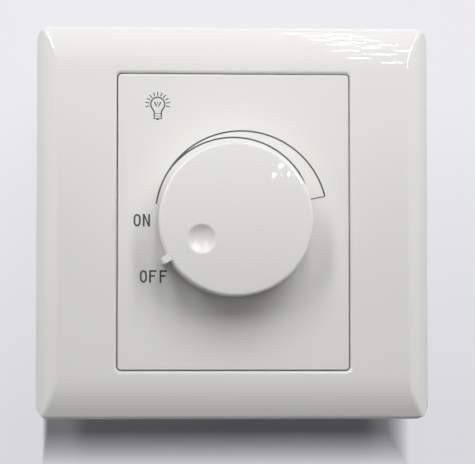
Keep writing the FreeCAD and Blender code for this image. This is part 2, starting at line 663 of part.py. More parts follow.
def front_panel():
    plate = slab(PANEL_WIDTH, PANEL_HEIGHT, PANEL_CORNER, PANEL_BACK, PANEL_FRONT)
    plate = plate.makeFillet(PANEL_EDGE_RADIUS, window_edges(plate, PANEL_WIDTH, PANEL_HEIGHT, PANEL_FRONT))
    width = PANEL_WIDTH - 2 * PANEL_SKIRT_INSET
    height = PANEL_HEIGHT - 2 * PANEL_SKIRT_INSET
    skirt = slab(width, height, PANEL_CORNER, FLANGE_FRONT, PANEL_BACK)
    hollow = slab(width - 2 * PANEL_SKIRT_WALL, height - 2 * PANEL_SKIRT_WALL, PANEL_CORNER,
                  FLANGE_FRONT, PANEL_BACK)
    posts = [rod(POST_RADIUS, x, z, POST_END, PANEL_BACK) for x, z in COLUMNS]
    body = plate.fuse([skirt.cut(hollow)] + posts)
    pilot = CASE_SCREW_RADIUS + PILOT_PLAY
    holes = [rod(pilot, x, z, POST_END - OVERCUT, POST_END + PILOT_DEPTH) for x, z in COLUMNS]
    behind = PANEL_BACK - OVERCUT
    holes.append(rod(BUSHING_RADIUS + PANEL_HOLE_PLAY, 0, AXIS_Z, behind, PANEL_FRONT + OVERCUT))
    holes.append(rod(TAB_RADIUS + PANEL_HOLE_PLAY, -TAB_OFFSET, AXIS_Z, behind,
                     PANEL_BACK + TAB_HEIGHT + PANEL_HOLE_PLAY))
    return body.cut(holes).removeSplitter()


# Knob

def face_depth(radius):
    """Depth of the knob's domed face at a distance from the axis."""
    return KNOB_FRONT - KNOB_DOME_RADIUS + math.sqrt(KNOB_DOME_RADIUS ** 2 - radius ** 2)


def face_edges(shape, reach):
    """The round edge on the knob's face that has about this radius: its rim or that of the dimple."""
    def on_face(edge):
        box = edge.BoundBox
        return box.YMax < -KNOB_ROOF - NEAR and abs(box.XLength / 2 - reach) < reach / 10
    return [edge for edge in shape.Edges if on_face(edge)]


def knob_shell():
    """A cup turned about the axis, with a little draft, cut to a dome and rounded along its front edge."""
    foot = KNOB_FOOT_RADIUS
    slant = math.sqrt(0.5)

    def point(r, d):
        return at(r, d, AXIS_Z)

    corner = point(KNOB_BASE_RADIUS - foot + foot * slant, KNOB_BACK + foot - foot * slant)
    path = [point(KNOB_INNER, KNOB_BACK), point(KNOB_BASE_RADIUS - foot, KNOB_BACK),
            point(KNOB_BASE_RADIUS, KNOB_BACK + foot), point(KNOB_FRONT_RADIUS, KNOB_FRONT),
            point(0, KNOB_FRONT), point(0, KNOB_ROOF), point(KNOB_INNER, KNOB_ROOF)]
    edges = [Part.makeLine(a, b) for a, b in zip(path, path[1:] + path[:1])]
    edges[1] = Part.Arc(path[1], corner, path[2]).toShape()
    cup = Part.Face(Part.Wire(edges)).revolve(at(0, 0, AXIS_Z), Vector(0, -1, 0), 360)
    cup = cup.common(Part.makeSphere(KNOB_DOME_RADIUS, point(0, KNOB_FRONT - KNOB_DOME_RADIUS)))
    return cup.makeFillet(KNOB_EDGE_RADIUS, face_edges(cup, KNOB_FRONT_RADIUS))


def pointer_rib():
    """A narrow rib down the knob's side, rounded along its outer edges."""
    inner = KNOB_FRONT_RADIUS - KNOB_EDGE_RADIUS
    front = face_depth(inner) - POINTER_SETBACK
    rib = block((inner, POINTER_END), (KNOB_BACK, front), span(AXIS_Z, POINTER_WIDTH))
    outer_edges = [e for e in rib.Edges if e.BoundBox.XMin > POINTER_END - NEAR
                   and abs(e.tangentAt(e.FirstParameter).y) > ALONG]
    front_edges = [e for e in rib.Edges if e.BoundBox.XMin > POINTER_END - NEAR
                   and e.BoundBox.YMax < NEAR - front]
    return turned(rib.makeFillet(POINTER_ROUND, outer_edges + front_edges), POINTER_ANGLE)


def shaft_form(radius, flat, d_low, d_high):
    """A round shaft end with one flat."""
    half_turned = block((-radius, radius), (d_low, d_high), (AXIS_Z - radius, AXIS_Z + radius - flat))
    return rod(radius, 0, AXIS_Z, d_low, d_high).common(half_turned)


def knob():
    root = KNOB_ROOF + KNOB_FACE_WALL / 2
    rib = block((0, KNOB_INNER + KNOB_WALL / 2), (HUB_BACK + KNOB_RIB_SETBACK, root),
                span(AXIS_Z, KNOB_RIB_WALL))
    ribs = [turned(rib, POINTER_ANGLE + i * 360.0 / KNOB_RIBS) for i in range(KNOB_RIBS)]
    hub = rod(HUB_RADIUS, 0, AXIS_Z, HUB_BACK, root)
    body = knob_shell().fuse(ribs + [hub, pointer_rib()])
    bore = shaft_form(SHAFT_RADIUS + BORE_PLAY, SHAFT_FLAT, HUB_BACK - OVERCUT, SHAFT_FRONT + BORE_PLAY)
    ball = (DIMPLE_RADIUS ** 2 + DIMPLE_DEPTH ** 2) / (2 * DIMPLE_DEPTH)
    dimple_d = face_depth(DIMPLE_OFFSET) - DIMPLE_DEPTH + ball
    dimple = Part.makeSphere(ball, on_axis(DIMPLE_OFFSET, POINTER_ANGLE, dimple_d))
    body = body.cut([turned(bore, POINTER_ANGLE), dimple]).removeSplitter()
    return body.makeFillet(DIMPLE_EDGE_RADIUS, face_edges(body, DIMPLE_RADIUS))


# Potentiometer

def pot_shaft():
    """Flatted front end, ring groove, thrust collar and the thin tail that drives the rotor and the cam."""
    body = rod(SHAFT_RADIUS, 0, AXIS_Z, COLLAR_BACK, HUB_BACK)
    grip = turned(shaft_form(SHAFT_RADIUS, SHAFT_FLAT, HUB_BACK, SHAFT_FRONT), POINTER_ANGLE)
    collar = rod(COLLAR_RADIUS, 0, AXIS_Z, COLLAR_BACK, COLLAR_FRONT)
    tail = rod(TAIL_RADIUS, 0, AXIS_Z, CAM_BACK, COLLAR_BACK)
    core = rod(SHAFT_RADIUS - RING_GROOVE, 0, AXIS_Z, RING_BACK, RING_FRONT)
    groove = rod(SHAFT_RADIUS + OVERCUT, 0, AXIS_Z, RING_BACK, RING_FRONT).cut(core)
    return body.fuse([grip, collar, tail]).cut(groove).removeSplitter()


def shaft_ring():
    """An open ring snapped into the shaft's groove."""
    ring = rod(RING_RADIUS, 0, AXIS_Z, RING_BACK, RING_FRONT)
    bore = rod(SHAFT_RADIUS - RING_GROOVE + BORE_PLAY, 0, AXIS_Z, RING_BACK, RING_FRONT)
    mouth = block((0, RING_RADIUS), (RING_BACK, RING_FRONT), span(AXIS_Z, RING_OPENING))
    return ring.cut([bore, mouth])


def pot_bushing():
    """Front plate with the threaded bushing, the locating tab and the end stop."""
    plate = rod(CAN_RADIUS, 0, AXIS_Z, PLATE_BACK, PANEL_BACK)
    bushing = rod(BUSHING_RADIUS, 0, AXIS_Z, PANEL_BACK, BUSHING_FRONT)
    tab = rod(TAB_RADIUS, -TAB_OFFSET, AXIS_Z, PANEL_BACK, PANEL_BACK + TAB_HEIGHT)
    margin = STOP_LUG_ANGLE / 2 + STOP_PLAY_ANGLE
    stop = sector(ROTOR_RADIUS - STOP_WIDTH, ROTOR_RADIUS, POINTER_ANGLE + margin,
                  POINTER_ANGLE + 360 - TURN - margin, PLATE_BACK - STOP_HEIGHT, PLATE_BACK)
    bore = rod(SHAFT_RADIUS + SHAFT_PLAY, 0, AXIS_Z, PLATE_BACK - OVERCUT, BUSHING_FRONT + OVERCUT)
    return plate.fuse([bushing, tab, stop]).cut(bore).removeSplitter()


def pot_washer():
    ring = rod(WASHER_RADIUS, 0, AXIS_Z, PANEL_FRONT, WASHER_FRONT)
    return ring.cut(rod(BUSHING_RADIUS + THREAD_PLAY, 0, AXIS_Z, PANEL_FRONT, WASHER_FRONT))


def pot_nut():
    nut = hexagon(NUT_FLATS, 0, AXIS_Z, WASHER_FRONT, NUT_FRONT)
    return nut.cut(rod(BUSHING_RADIUS + THREAD_PLAY, 0, AXIS_Z, WASHER_FRONT, NUT_FRONT))


def tongue(width, wall, play):
    """The terminal tongue that leaves the case at its foot."""
    foot = AXIS_Z - CAN_RADIUS - TONGUE_REACH
    return block(span(0, width + 2 * play), (WAFER_BACK - play, WAFER_BACK + wall + play), (foot, AXIS_Z))


def pot_can():
    outer = rod(CAN_RADIUS, 0, AXIS_Z, CAN_BACK, PLATE_BACK)
    inner = rod(CAN_RADIUS - CAN_WALL, 0, AXIS_Z, WAFER_BACK, PLATE_BACK)
    hole = rod(TAIL_RADIUS + WAFER_PLAY, 0, AXIS_Z, CAN_BACK, WAFER_BACK)
    mouth = tongue(TONGUE_WIDTH, WAFER_WALL, WAFER_PLAY)
    mouth = mouth.common(block(span(0, PLATE), (WAFER_BACK, PLATE_BACK), span(AXIS_Z, PLATE)))
    return outer.cut([inner, hole, mouth])


def track_wafer():
    """Resistance track board, with its tongue out of the case."""
    disc = rod(CAN_RADIUS - CAN_WALL - WAFER_PLAY, 0, AXIS_Z, WAFER_BACK, WAFER_FRONT)
    hole = rod(TAIL_RADIUS + WAFER_PLAY, 0, AXIS_Z, WAFER_BACK, WAFER_FRONT)
    return disc.fuse(tongue(TONGUE_WIDTH, WAFER_WALL, 0)).cut(hole).removeSplitter()


def pot_lugs():
    """Three lugs from the tongue back through the board."""
    pad = TONGUE_REACH / 2
    lugs = []
    for x in LUG_PLACES:
        foot = block(span(x, LUG_WIDTH), (WAFER_BACK - LUG_WALL, WAFER_BACK), span(LUG_Z, pad))
        pin = block(span(x, LUG_WIDTH), (BOARD_BACK - LEAD_TIP, WAFER_BACK), span(LUG_Z, LUG_WALL))
        lugs.append(foot.fuse(pin).removeSplitter())
    return Part.makeCompound(lugs)


def wiper_rotor():
    """Moulded disc on the shaft's tail, with the lug that meets the end stops."""
    disc = rod(ROTOR_RADIUS, 0, AXIS_Z, ROTOR_BACK, ROTOR_FRONT)
    lug = sector(ROTOR_RADIUS - STOP_WIDTH, ROTOR_RADIUS, POINTER_ANGLE - STOP_LUG_ANGLE / 2,
                 POINTER_ANGLE + STOP_LUG_ANGLE / 2, ROTOR_FRONT, PLATE_BACK - COLLAR_PLAY)
    bore = rod(TAIL_RADIUS + BORE_PLAY, 0, AXIS_Z, ROTOR_BACK, ROTOR_FRONT)
    return disc.fuse(lug).cut(bore).removeSplitter()


def wiper_spring():
    """Sprung contact under the rotor: a ring and two fingers that reach down to the track."""
    ring = rod(WIPER_RING_RADIUS, 0, AXIS_Z, ROTOR_BACK - WIPER_WALL, ROTOR_BACK)
    tip = WAFER_FRONT + WIPER_LIFT
    root = (TAIL_RADIUS + WIPER_RING_RADIUS) / 2
    outline = [(root, ROTOR_BACK), (root, ROTOR_BACK - WIPER_WALL), (WIPER_REACH - WIPER_FINGER, tip),
               (WIPER_REACH, tip), (WIPER_REACH, tip + WIPER_WALL),
               (WIPER_REACH - WIPER_FINGER + WIPER_WALL, tip + WIPER_WALL),
               (WIPER_RING_RADIUS, ROTOR_BACK), (root, ROTOR_BACK)]
    face = Part.Face(Part.makePolygon([at(r, d, AXIS_Z - WIPER_FINGER / 2) for r, d in outline]))
    finger = face.extrude(Vector(0, 0, WIPER_FINGER))
    fingers = [turned(finger, POINTER_ANGLE + 180 + side * WIPER_SPLAY) for side in (-1, 1)]
    bore = rod(TAIL_RADIUS + BORE_PLAY, 0, AXIS_Z, ROTOR_BACK - WIPER_WALL, ROTOR_BACK)
    return ring.fuse(fingers).cut(bore).removeSplitter()


# Switch

def switch_housing():
    """Moulded cup behind the case, on feet that stand on the board."""
    cup = rod(CAN_RADIUS, 0, AXIS_Z, SWITCH_BACK, CAN_BACK)
    hollow = rod(CAN_RADIUS - SWITCH_WALL, 0, AXIS_Z, SWITCH_BACK + SWITCH_WALL, CAN_BACK)
    places = [on_axis(FOOT_OFFSET, angle, BOARD_FRONT) for angle in FOOT_ANGLES]
    feet = [rod(FOOT_RADIUS, place.x, place.z, BOARD_FRONT, SWITCH_BACK) for place in places]
    holes = [rod(CONTACT_RADIUS + LEAD_PLAY, x, CONTACT_Z, SWITCH_BACK - OVERCUT, SWITCH_BACK + SWITCH_WALL)
             for x in span(0, CONTACT_SPREAD)]
    return cup.cut([hollow] + holes).fuse(feet).removeSplitter()


def switch_cam():
    """Cam on the shaft's tail; its nose looks up at OFF and holds the leaf off its contact."""
    disc = rod(CAM_RADIUS, 0, AXIS_Z, CAM_BACK, CAM_FRONT)
    nose = sector(TAIL_RADIUS, CAM_NOSE, *span(90, CAM_NOSE_ANGLE), CAM_BACK, CAM_FRONT)
    bore = rod(TAIL_RADIUS + BORE_PLAY, 0, AXIS_Z, CAM_BACK, CAM_FRONT)
    return disc.fuse(nose).cut(bore).removeSplitter()


def contact_pin(x, top):
    return rod(CONTACT_RADIUS, x, CONTACT_Z, BOARD_BACK - LEAD_TIP, top)


def switch_leaf():
    """Spring leaf over the cam, carried by its pin at the left."""
    low = AXIS_Z + CAM_NOSE + LEAF_LIFT
    left, right = span(0, CONTACT_SPREAD)
    depth = (CAM_BACK, CAM_FRONT)
    strip = block((left - CONTACT_RADIUS, right + CONTACT_RADIUS), depth, (low, low + LEAF_WALL))
    post = block(span(left, 2 * CONTACT_RADIUS), depth, (CONTACT_Z, low))
    return strip.fuse([post, contact_pin(left, CAM_FRONT)]).removeSplitter()


def switch_contact():
    """Fixed contact under the leaf's free end, open at OFF."""
    right = CONTACT_SPREAD / 2
    return contact_pin(right, CAM_FRONT).cut(block(span(right, 4 * CONTACT_RADIUS), (CAM_BACK, CAM_FRONT),
                                                   (CONTACT_Z + CONTACT_GAP / 2, AXIS_Z + CAN_RADIUS)))


# Rear housing

def bay_hollow():
    """The open bay for the two wire terminals, with a partition between them."""
    hollow = block(span(0, BAY_WIDTH), (-HOUSING_DEPTH - OVERCUT, BAY_FLOOR_BACK),
                   (HOUSING_FOOT - OVERCUT, BAY_TOP))
    wall = block(span(0, PARTITION_WALL), (-HOUSING_DEPTH + PARTITION_SETBACK, BAY_FLOOR_BACK),
                 (HOUSING_FOOT + PARTITION_SETBACK, BAY_TOP))
    return hollow.cut(wall)


def vents():
    """Upright cooling slots in the rear wall."""
    back = -HOUSING_DEPTH
    cutters = []
    for i in range(VENT_COUNT):
        x = (i - (VENT_COUNT - 1) / 2) * VENT_PITCH
        slot = obround(VENT_LENGTH, VENT_WIDTH, back - OVERCUT, back + HOUSING_WALL + OVERCUT, 0, 0)
        slot.rotate(Vector(0, 0, 0), Vector(0, 1, 0), 90)
        slot.translate(Vector(x, 0, VENT_RISE))
        cutters.append(slot)
    return cutters


def board_ledges():
    """Ledges on the side walls that the board rests on."""
    ledges = []
    for side in (-1, 1):
        for end in (-1, 1):
            x = sorted((side * (INSIDE_X - LEDGE_REACH), side * (INSIDE_X + HOUSING_WALL / 2)))
            z = span(end * LEDGE_SPREAD / 2, LEDGE_WIDTH)
            ledges.append(block(x, (BOARD_BACK - LEDGE_WALL, BOARD_BACK), z))
    return ledges


def housing_clip():
    """Catch ridge on the top wall, behind the base."""
    foot = HOUSING_HEIGHT / 2
    catch = BASE_WALL - CLIP_HEIGHT
    outline = [(foot, catch), (foot + CLIP_REACH, catch), (foot, catch - CLIP_HEIGHT), (foot, catch)]
    face = Part.Face(Part.makePolygon([at(-CLIP_WIDTH / 2, d, z) for z, d in outline]))
    return face.extrude(Vector(CLIP_WIDTH, 0, 0))


def tail_slot(x, d_low, d_high):
    """Cutter for a terminal's tail."""
    return block(span(x, TAIL_WIDTH + 2 * TERMINAL_PLAY), (d_low - OVERCUT, d_high + OVERCUT),
                 span(TERMINAL_MID, TAIL_WALL + 2 * TERMINAL_PLAY))


def housing_block():
    """The housing's outer form, with a rounded edge round its rear face."""
    outer = slab(HOUSING_WIDTH, HOUSING_HEIGHT, HOUSING_CORNER, -HOUSING_DEPTH, FLANGE_FRONT)
    rear = [e for e in outer.Edges if e.BoundBox.YMin > HOUSING_DEPTH - NEAR]
    return outer.makeFillet(HOUSING_EDGE_RADIUS, rear)


def rear_housing():
    back = -HOUSING_DEPTH
    tub = housing_block()
    flange = slab(FLANGE_WIDTH, FLANGE_HEIGHT, PANEL_CORNER, BASE_WALL, FLANGE_FRONT)
    hollow = slab(HOUSING_WIDTH - 2 * HOUSING_WALL, HOUSING_HEIGHT - 2 * HOUSING_WALL, HOUSING_CORNER,
                  back + HOUSING_WALL, FLANGE_FRONT)
    bay = block(span(0, BAY_WIDTH + 2 * HOUSING_WALL), (back, BAY_FLOOR_FRONT),
                (HOUSING_FOOT, BAY_ROOF)).common(tub)
    columns = [rod(COLUMN_RADIUS, x, z, back, POST_END).common(tub) for x, z in COLUMNS]
    clip = housing_clip()
    body = tub.fuse(flange).cut(hollow).fuse([bay, clip, mirrored_down(clip)] + columns + board_ledges())
    shank = CASE_SCREW_RADIUS + CASE_SCREW_PLAY
    cuts = [rod(WELL_RADIUS, x, z, back - OVERCUT, SCREW_SEAT) for x, z in COLUMNS]
    cuts += [rod(shank, x, z, SCREW_SEAT - OVERCUT, POST_END + OVERCUT) for x, z in COLUMNS]
    cuts += [tail_slot(x, BAY_FLOOR_BACK, BAY_FLOOR_FRONT) for x in TERMINAL_PLACES]
    return body.cut(cuts + [bay_hollow()] + vents()).removeSplitter()


def case_screws():
    """Four screws from the back of the housing into the panel's posts."""
    screws = []
    for x, z in COLUMNS:
        head = rod(CASE_HEAD_RADIUS, x, z, SCREW_SEAT - CASE_HEAD_HEIGHT, SCREW_SEAT)
        shank = rod(CASE_SCREW_RADIUS, x, z, SCREW_SEAT, SCREW_SEAT + CASE_SCREW_LENGTH)
        cross = driver_slot(x, z, SCREW_SEAT - CASE_HEAD_HEIGHT, CASE_HEAD_RADIUS / 2)
        screws.append(head.fuse(shank).cut(cross).removeSplitter())
    return Part.makeCompound(screws)


# Wire terminals

def wire_terminal(x):
    """Brass block with a blind hole for the wire from below, and a tail soldered in the board."""
    foot = BAY_TOP - TERMINAL_HEIGHT
    body = block(span(x, TERMINAL_WIDTH), (TERMINAL_BACK, BAY_FLOOR_BACK), (foot, BAY_TOP))
    tail = block(span(x, TAIL_WIDTH), (BAY_FLOOR_BACK, BOARD_FRONT + TAIL_TIP), span(TERMINAL_MID, TAIL_WALL))
    wire = Part.makeCylinder(WIRE_RADIUS, WIRE_DEPTH, at(x, WIRE_DEPTH_STATION, foot), Vector(0, 0, 1))
    screw = rod(CLAMP_RADIUS + THREAD_PLAY, x, TERMINAL_MID, TERMINAL_BACK, WIRE_DEPTH_STATION)
    return body.fuse(tail).cut([wire, screw]).removeSplitter()


def clamp_screws():
    """The two clamp screws, backed off so that a wire can enter."""
    screws = []
    seat = TERMINAL_BACK - CLAMP_STANDOFF
    tip = WIRE_DEPTH_STATION - WIRE_RADIUS - CLAMP_TIP_GAP
    for x in TERMINAL_PLACES:
        head = rod(CLAMP_HEAD_RADIUS, x, TERMINAL_MID, seat - CLAMP_HEAD_HEIGHT, seat)
        shank = rod(CLAMP_RADIUS, x, TERMINAL_MID, seat, tip)
        cross = driver_slot(x, TERMINAL_MID, seat - CLAMP_HEAD_HEIGHT, CLAMP_HEAD_RADIUS / 2)
        screws.append(head.fuse(shank).cut(cross).removeSplitter())
    return Part.makeCompound(screws)


# Circuit board and its parts

def sink_screw_hole(d_low, d_high):
    radius = SINK_SCREW_RADIUS + SINK_SCREW_PLAY
    return rod(radius, SINK_SCREW_X, TRIAC_MID, d_low - OVERCUT, d_high + OVERCUT)


def circuit_board():
    side = 2 * (HOUSING_WALL + BOARD_PLAY)
    board = slab(HOUSING_WIDTH - side, HOUSING_HEIGHT - side, HOUSING_CORNER, BOARD_BACK, BOARD_FRONT)
    depth = (BOARD_BACK - OVERCUT, BOARD_FRONT + OVERCUT)
    cuts = [rod(COLUMN_RADIUS + BOARD_PLAY, x, z, *depth) for x, z in COLUMNS]
    cuts += [rod(LEAD_RADIUS + LEAD_PLAY, x, z, *depth) for x, z in LEAD_PLACES]
    cuts += [rod(CONTACT_RADIUS + LEAD_PLAY, x, CONTACT_Z, *depth) for x in span(0, CONTACT_SPREAD)]
    cuts += [block(span(x, LUG_WIDTH + 2 * LEAD_PLAY), depth, span(LUG_Z, LUG_WALL + 2 * LEAD_PLAY))
             for x in LUG_PLACES]
    cuts += [tail_slot(x, BOARD_BACK, BOARD_FRONT) for x in TERMINAL_PLACES]
    cuts.append(sink_screw_hole(BOARD_BACK, BOARD_FRONT))
    return board.cut(cuts)


def lead(x, z, rise):
    """A straight lead from a part down through the board."""
    return rod(LEAD_RADIUS, x, z, BOARD_BACK - rise, BOARD_FRONT + LEAD_TIP)


def box_capacitor(x, z, width, thickness, height, pitch):
    body = block(span(x, width), (BOARD_BACK - height, BOARD_BACK), span(z, thickness))
    body = body.makeFillet(CAPACITOR_ROUND, body.Edges)
    return body.fuse([lead(lx, lz, height / 2) for lx, lz in pair(x, z, pitch)]).removeSplitter()


def axial_part(x, z, radius, length, pitch):
    """A round part lying on the board, with leads bent down at both ends."""
    depth = BOARD_BACK - radius
    body = bar(radius, x - length / 2, x + length / 2, depth, z)
    wire = bar(LEAD_RADIUS, x - pitch / 2, x + pitch / 2, depth, z)
    return body.fuse([wire] + [lead(lx, lz, radius) for lx, lz in pair(x, z, pitch)]).removeSplitter()


def heat_sink():
    """Folded aluminium channel that lies on the board."""
    x = (SINK_LEFT, SINK_LEFT + SINK_LENGTH)
    z = (SINK_FOOT, SINK_FOOT + SINK_WIDTH)
    outer = block(x, (BOARD_BACK - SINK_HEIGHT, BOARD_BACK), z)
    inner = block((x[0] - OVERCUT, x[1] + OVERCUT), (BOARD_BACK - SINK_HEIGHT - OVERCUT, SINK_BACK),
                  (z[0] + SINK_WALL, z[1] - SINK_WALL))
    bends = [e for e in outer.Edges if abs(e.tangentAt(e.FirstParameter).x) > ALONG
             and e.BoundBox.YMax < NEAR - BOARD_BACK]
    return outer.makeFillet(SINK_WALL, bends).cut([inner, sink_screw_hole(SINK_BACK, BOARD_BACK)])


def triac():
    """Power semiconductor: metal tab, moulded body and three leads bent down into the board."""
    right = TRIAC_LEFT + TRIAC_LENGTH
    z = span(TRIAC_MID, TRIAC_WIDTH)
    tab = block((TRIAC_LEFT, right), (TAB_BACK, SINK_BACK), z)
    body = block((right - TRIAC_BODY, right), (SINK_BACK - TRIAC_HEIGHT, SINK_BACK), z)
    depth = SINK_BACK - TRIAC_HEIGHT / 2
    legs = []
    for x, lead_z in TRIAC_LEADS:
        legs.append(bar(LEAD_RADIUS, right - LEAD_RADIUS, x, depth, lead_z))
        legs.append(lead(x, lead_z, BOARD_BACK - depth))
    return tab.fuse([body] + legs).cut(sink_screw_hole(TAB_BACK, SINK_BACK)).removeSplitter()


def sink_screw():
    head = rod(SINK_HEAD_RADIUS, SINK_SCREW_X, TRIAC_MID, TAB_BACK - SINK_HEAD_HEIGHT, TAB_BACK)
    tip = BOARD_FRONT + SINK_NUT_HEIGHT + SINK_SCREW_TIP
    shank = rod(SINK_SCREW_RADIUS, SINK_SCREW_X, TRIAC_MID, TAB_BACK, tip)
    cross = driver_slot(SINK_SCREW_X, TRIAC_MID, TAB_BACK - SINK_HEAD_HEIGHT, SINK_HEAD_RADIUS / 2)
    return head.fuse(shank).cut(cross).removeSplitter()


def sink_nut():
    nut = hexagon(SINK_NUT_FLATS, SINK_SCREW_X, TRIAC_MID, BOARD_FRONT, BOARD_FRONT + SINK_NUT_HEIGHT)
    return nut.cut(rod(SINK_SCREW_RADIUS + THREAD_PLAY, SINK_SCREW_X, TRIAC_MID, BOARD_FRONT,
                       BOARD_FRONT + SINK_NUT_HEIGHT))


def choke_section(margin):
    """Section of the choke's core, or of its winding when a margin is given."""
    front = BOARD_BACK - CHOKE_STANDOFF - CHOKE_WIRE + margin
    back = BOARD_BACK - CHOKE_STANDOFF - CHOKE_WIRE - CHOKE_HEIGHT - margin
    inner = CHOKE_X + CHOKE_BORE - margin
    outer = CHOKE_X + CHOKE_RADIUS + margin
    corners = [at(inner, back, CHOKE_Z), at(outer, back, CHOKE_Z), at(outer, front, CHOKE_Z),
               at(inner, front, CHOKE_Z), at(inner, back, CHOKE_Z)]
    return Part.Face(Part.makePolygon(corners))


def choke_core():
    return choke_section(0).revolve(at(CHOKE_X, 0, CHOKE_Z), Vector(0, 1, 0), 360)


def choke_winding():
    """Wire wound round most of the ring, as one sleeve, with its two ends taken down to the board."""
    sleeve = choke_section(CHOKE_WIRE).cut(choke_section(CHOKE_PLAY))
    sleeve.rotate(at(CHOKE_X, 0, CHOKE_Z), Vector(0, 1, 0), 270 - CHOKE_TURN / 2 + 180)
    coil = sleeve.revolve(at(CHOKE_X, 0, CHOKE_Z), Vector(0, 1, 0), CHOKE_TURN)
    ends = [lead(x, z, CHOKE_STANDOFF + CHOKE_WIRE / 2) for x, z in CHOKE_LEADS]
    return coil.fuse(ends).removeSplitter()


def resistors():
    return Part.makeCompound([axial_part(RESISTOR_X, z, RESISTOR_RADIUS, RESISTOR_LENGTH, RESISTOR_PITCH)
                              for z in RESISTOR_PLACES])


PIECES = {
    "cover_frame": cover_frame(),
    "mounting_base": mounting_base(),
    "front_panel": front_panel(),
    "knob": knob(),
    "pot_shaft": pot_shaft(),
    "shaft_ring": shaft_ring(),
    "pot_bushing": pot_bushing(),
    "pot_washer": pot_washer(),
    "pot_nut": pot_nut(),
    "pot_can": pot_can(),
    "track_wafer": track_wafer(),
    "pot_lugs": pot_lugs(),
    "wiper_rotor": wiper_rotor(),
    "wiper_spring": wiper_spring(),
    "switch_housing": switch_housing(),
    "switch_cam": switch_cam(),
    "switch_leaf": switch_leaf(),
    "switch_contact": switch_contact(),
    "rear_housing": rear_housing(),
    "case_screws": case_screws(),
    "live_terminal": wire_terminal(TERMINAL_PLACES[0]),
    "load_terminal": wire_terminal(TERMINAL_PLACES[1]),
    "clamp_screws": clamp_screws(),
    "circuit_board": circuit_board(),
    "heat_sink": heat_sink(),
    "triac": triac(),
    "sink_screw": sink_screw(),
    "sink_nut": sink_nut(),
    "choke_core": choke_core(),
    "choke_winding": choke_winding(),
    "suppression_capacitor": box_capacitor(SUPPRESSOR_X, SUPPRESSOR_Z, SUPPRESSOR_WIDTH, SUPPRESSOR_THICKNESS,
                                           SUPPRESSOR_HEIGHT, SUPPRESSOR_PITCH),
    "timing_capacitor": box_capacitor(TIMING_X, TIMING_Z, TIMING_WIDTH, TIMING_THICKNESS, TIMING_HEIGHT,
                                      TIMING_PITCH),
    "fuse": axial_part(FUSE_X, FUSE_Z, FUSE_RADIUS, FUSE_LENGTH, FUSE_PITCH),
    "resistors": resistors(),
    "diac": axial_part(DIAC_X, DIAC_Z, DIAC_RADIUS, DIAC_LENGTH, DIAC_PITCH),
}

os.makedirs("parts", exist_ok=True)
for name, shape in PIECES.items():
    shape.exportStep(f"parts/{name}.step")
    print(f"{name}: {len(shape.Solids)} solid, {shape.Volume:.1f} mm3, valid {shape.isValid()}")
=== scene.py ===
# %% [markdown]
# # A rotary dimmer switch in its wall plate
# The switch is built in CAD first, at its real size, and comes in here as a fixed frame that is never moved.
# This lesson dresses it: every moulding, metal and lacquer gets its own finish, the printed signs are drawn
# on the panel, and a backdrop, lamps and a camera show it as in a studio, from the front.

# %% Load the frame
import math

import bmesh
import bpy
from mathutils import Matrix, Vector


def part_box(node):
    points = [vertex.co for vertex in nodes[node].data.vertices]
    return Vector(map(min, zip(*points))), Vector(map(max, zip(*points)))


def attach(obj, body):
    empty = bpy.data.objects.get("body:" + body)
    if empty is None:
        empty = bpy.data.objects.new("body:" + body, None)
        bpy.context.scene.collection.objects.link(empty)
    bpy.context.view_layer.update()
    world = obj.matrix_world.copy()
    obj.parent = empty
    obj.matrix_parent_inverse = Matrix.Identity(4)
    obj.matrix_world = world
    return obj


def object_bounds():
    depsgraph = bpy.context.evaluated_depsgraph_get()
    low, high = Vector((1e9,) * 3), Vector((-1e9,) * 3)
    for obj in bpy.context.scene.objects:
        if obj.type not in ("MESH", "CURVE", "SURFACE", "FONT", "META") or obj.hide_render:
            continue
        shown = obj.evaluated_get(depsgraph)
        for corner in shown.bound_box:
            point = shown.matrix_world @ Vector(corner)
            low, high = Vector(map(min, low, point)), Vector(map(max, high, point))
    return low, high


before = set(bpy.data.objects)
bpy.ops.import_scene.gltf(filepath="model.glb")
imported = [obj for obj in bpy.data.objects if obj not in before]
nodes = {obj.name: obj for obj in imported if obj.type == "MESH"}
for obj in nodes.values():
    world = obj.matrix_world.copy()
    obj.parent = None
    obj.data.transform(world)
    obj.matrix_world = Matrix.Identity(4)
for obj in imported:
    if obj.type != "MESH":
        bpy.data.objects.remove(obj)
cad_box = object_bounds()

MM = 0.001
PANEL_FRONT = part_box("front_panel")[0].y
print(f"{len(nodes)} CAD nodes, panel front at y = {PANEL_FRONT / MM:.2f} mm")

# %% [markdown]
# ## Colours and nodes
# Colours are written as the eye reads them, in sRGB hex. Blender mixes light in linear values, so one
# function does the change. One more function adds a shader node with its settings, values and links. The
# other three put such nodes together: a material to start from, a noise of a given size on the piece, and
# a colour that drifts between two tones.

# %% Colour and node helpers
MIX_A, MIX_B, MIX_RESULT = 6, 7, 2              # a Mix node's colour sockets come after those for numbers


def linear(code):
    """A colour written as six hex digits, as linear RGBA."""
    parts = [int(code[i:i + 2], 16) / 255 for i in (0, 2, 4)]
    return [c / 12.92 if c <= 0.04045 else ((c + 0.055) / 1.055) ** 2.4 for c in parts] + [1.0]


def add(tree, kind, values=None, links=None, **settings):
    """A shader node with its settings, its fixed values and what is plugged into it."""
    made = tree.nodes.new("ShaderNode" + kind)
    for name, value in settings.items():
        setattr(made, name, value)
    for name, value in (values or {}).items():
        made.inputs[name].default_value = value
    for name, socket in (links or {}).items():
        tree.links.new(socket, made.inputs[name])
    return made


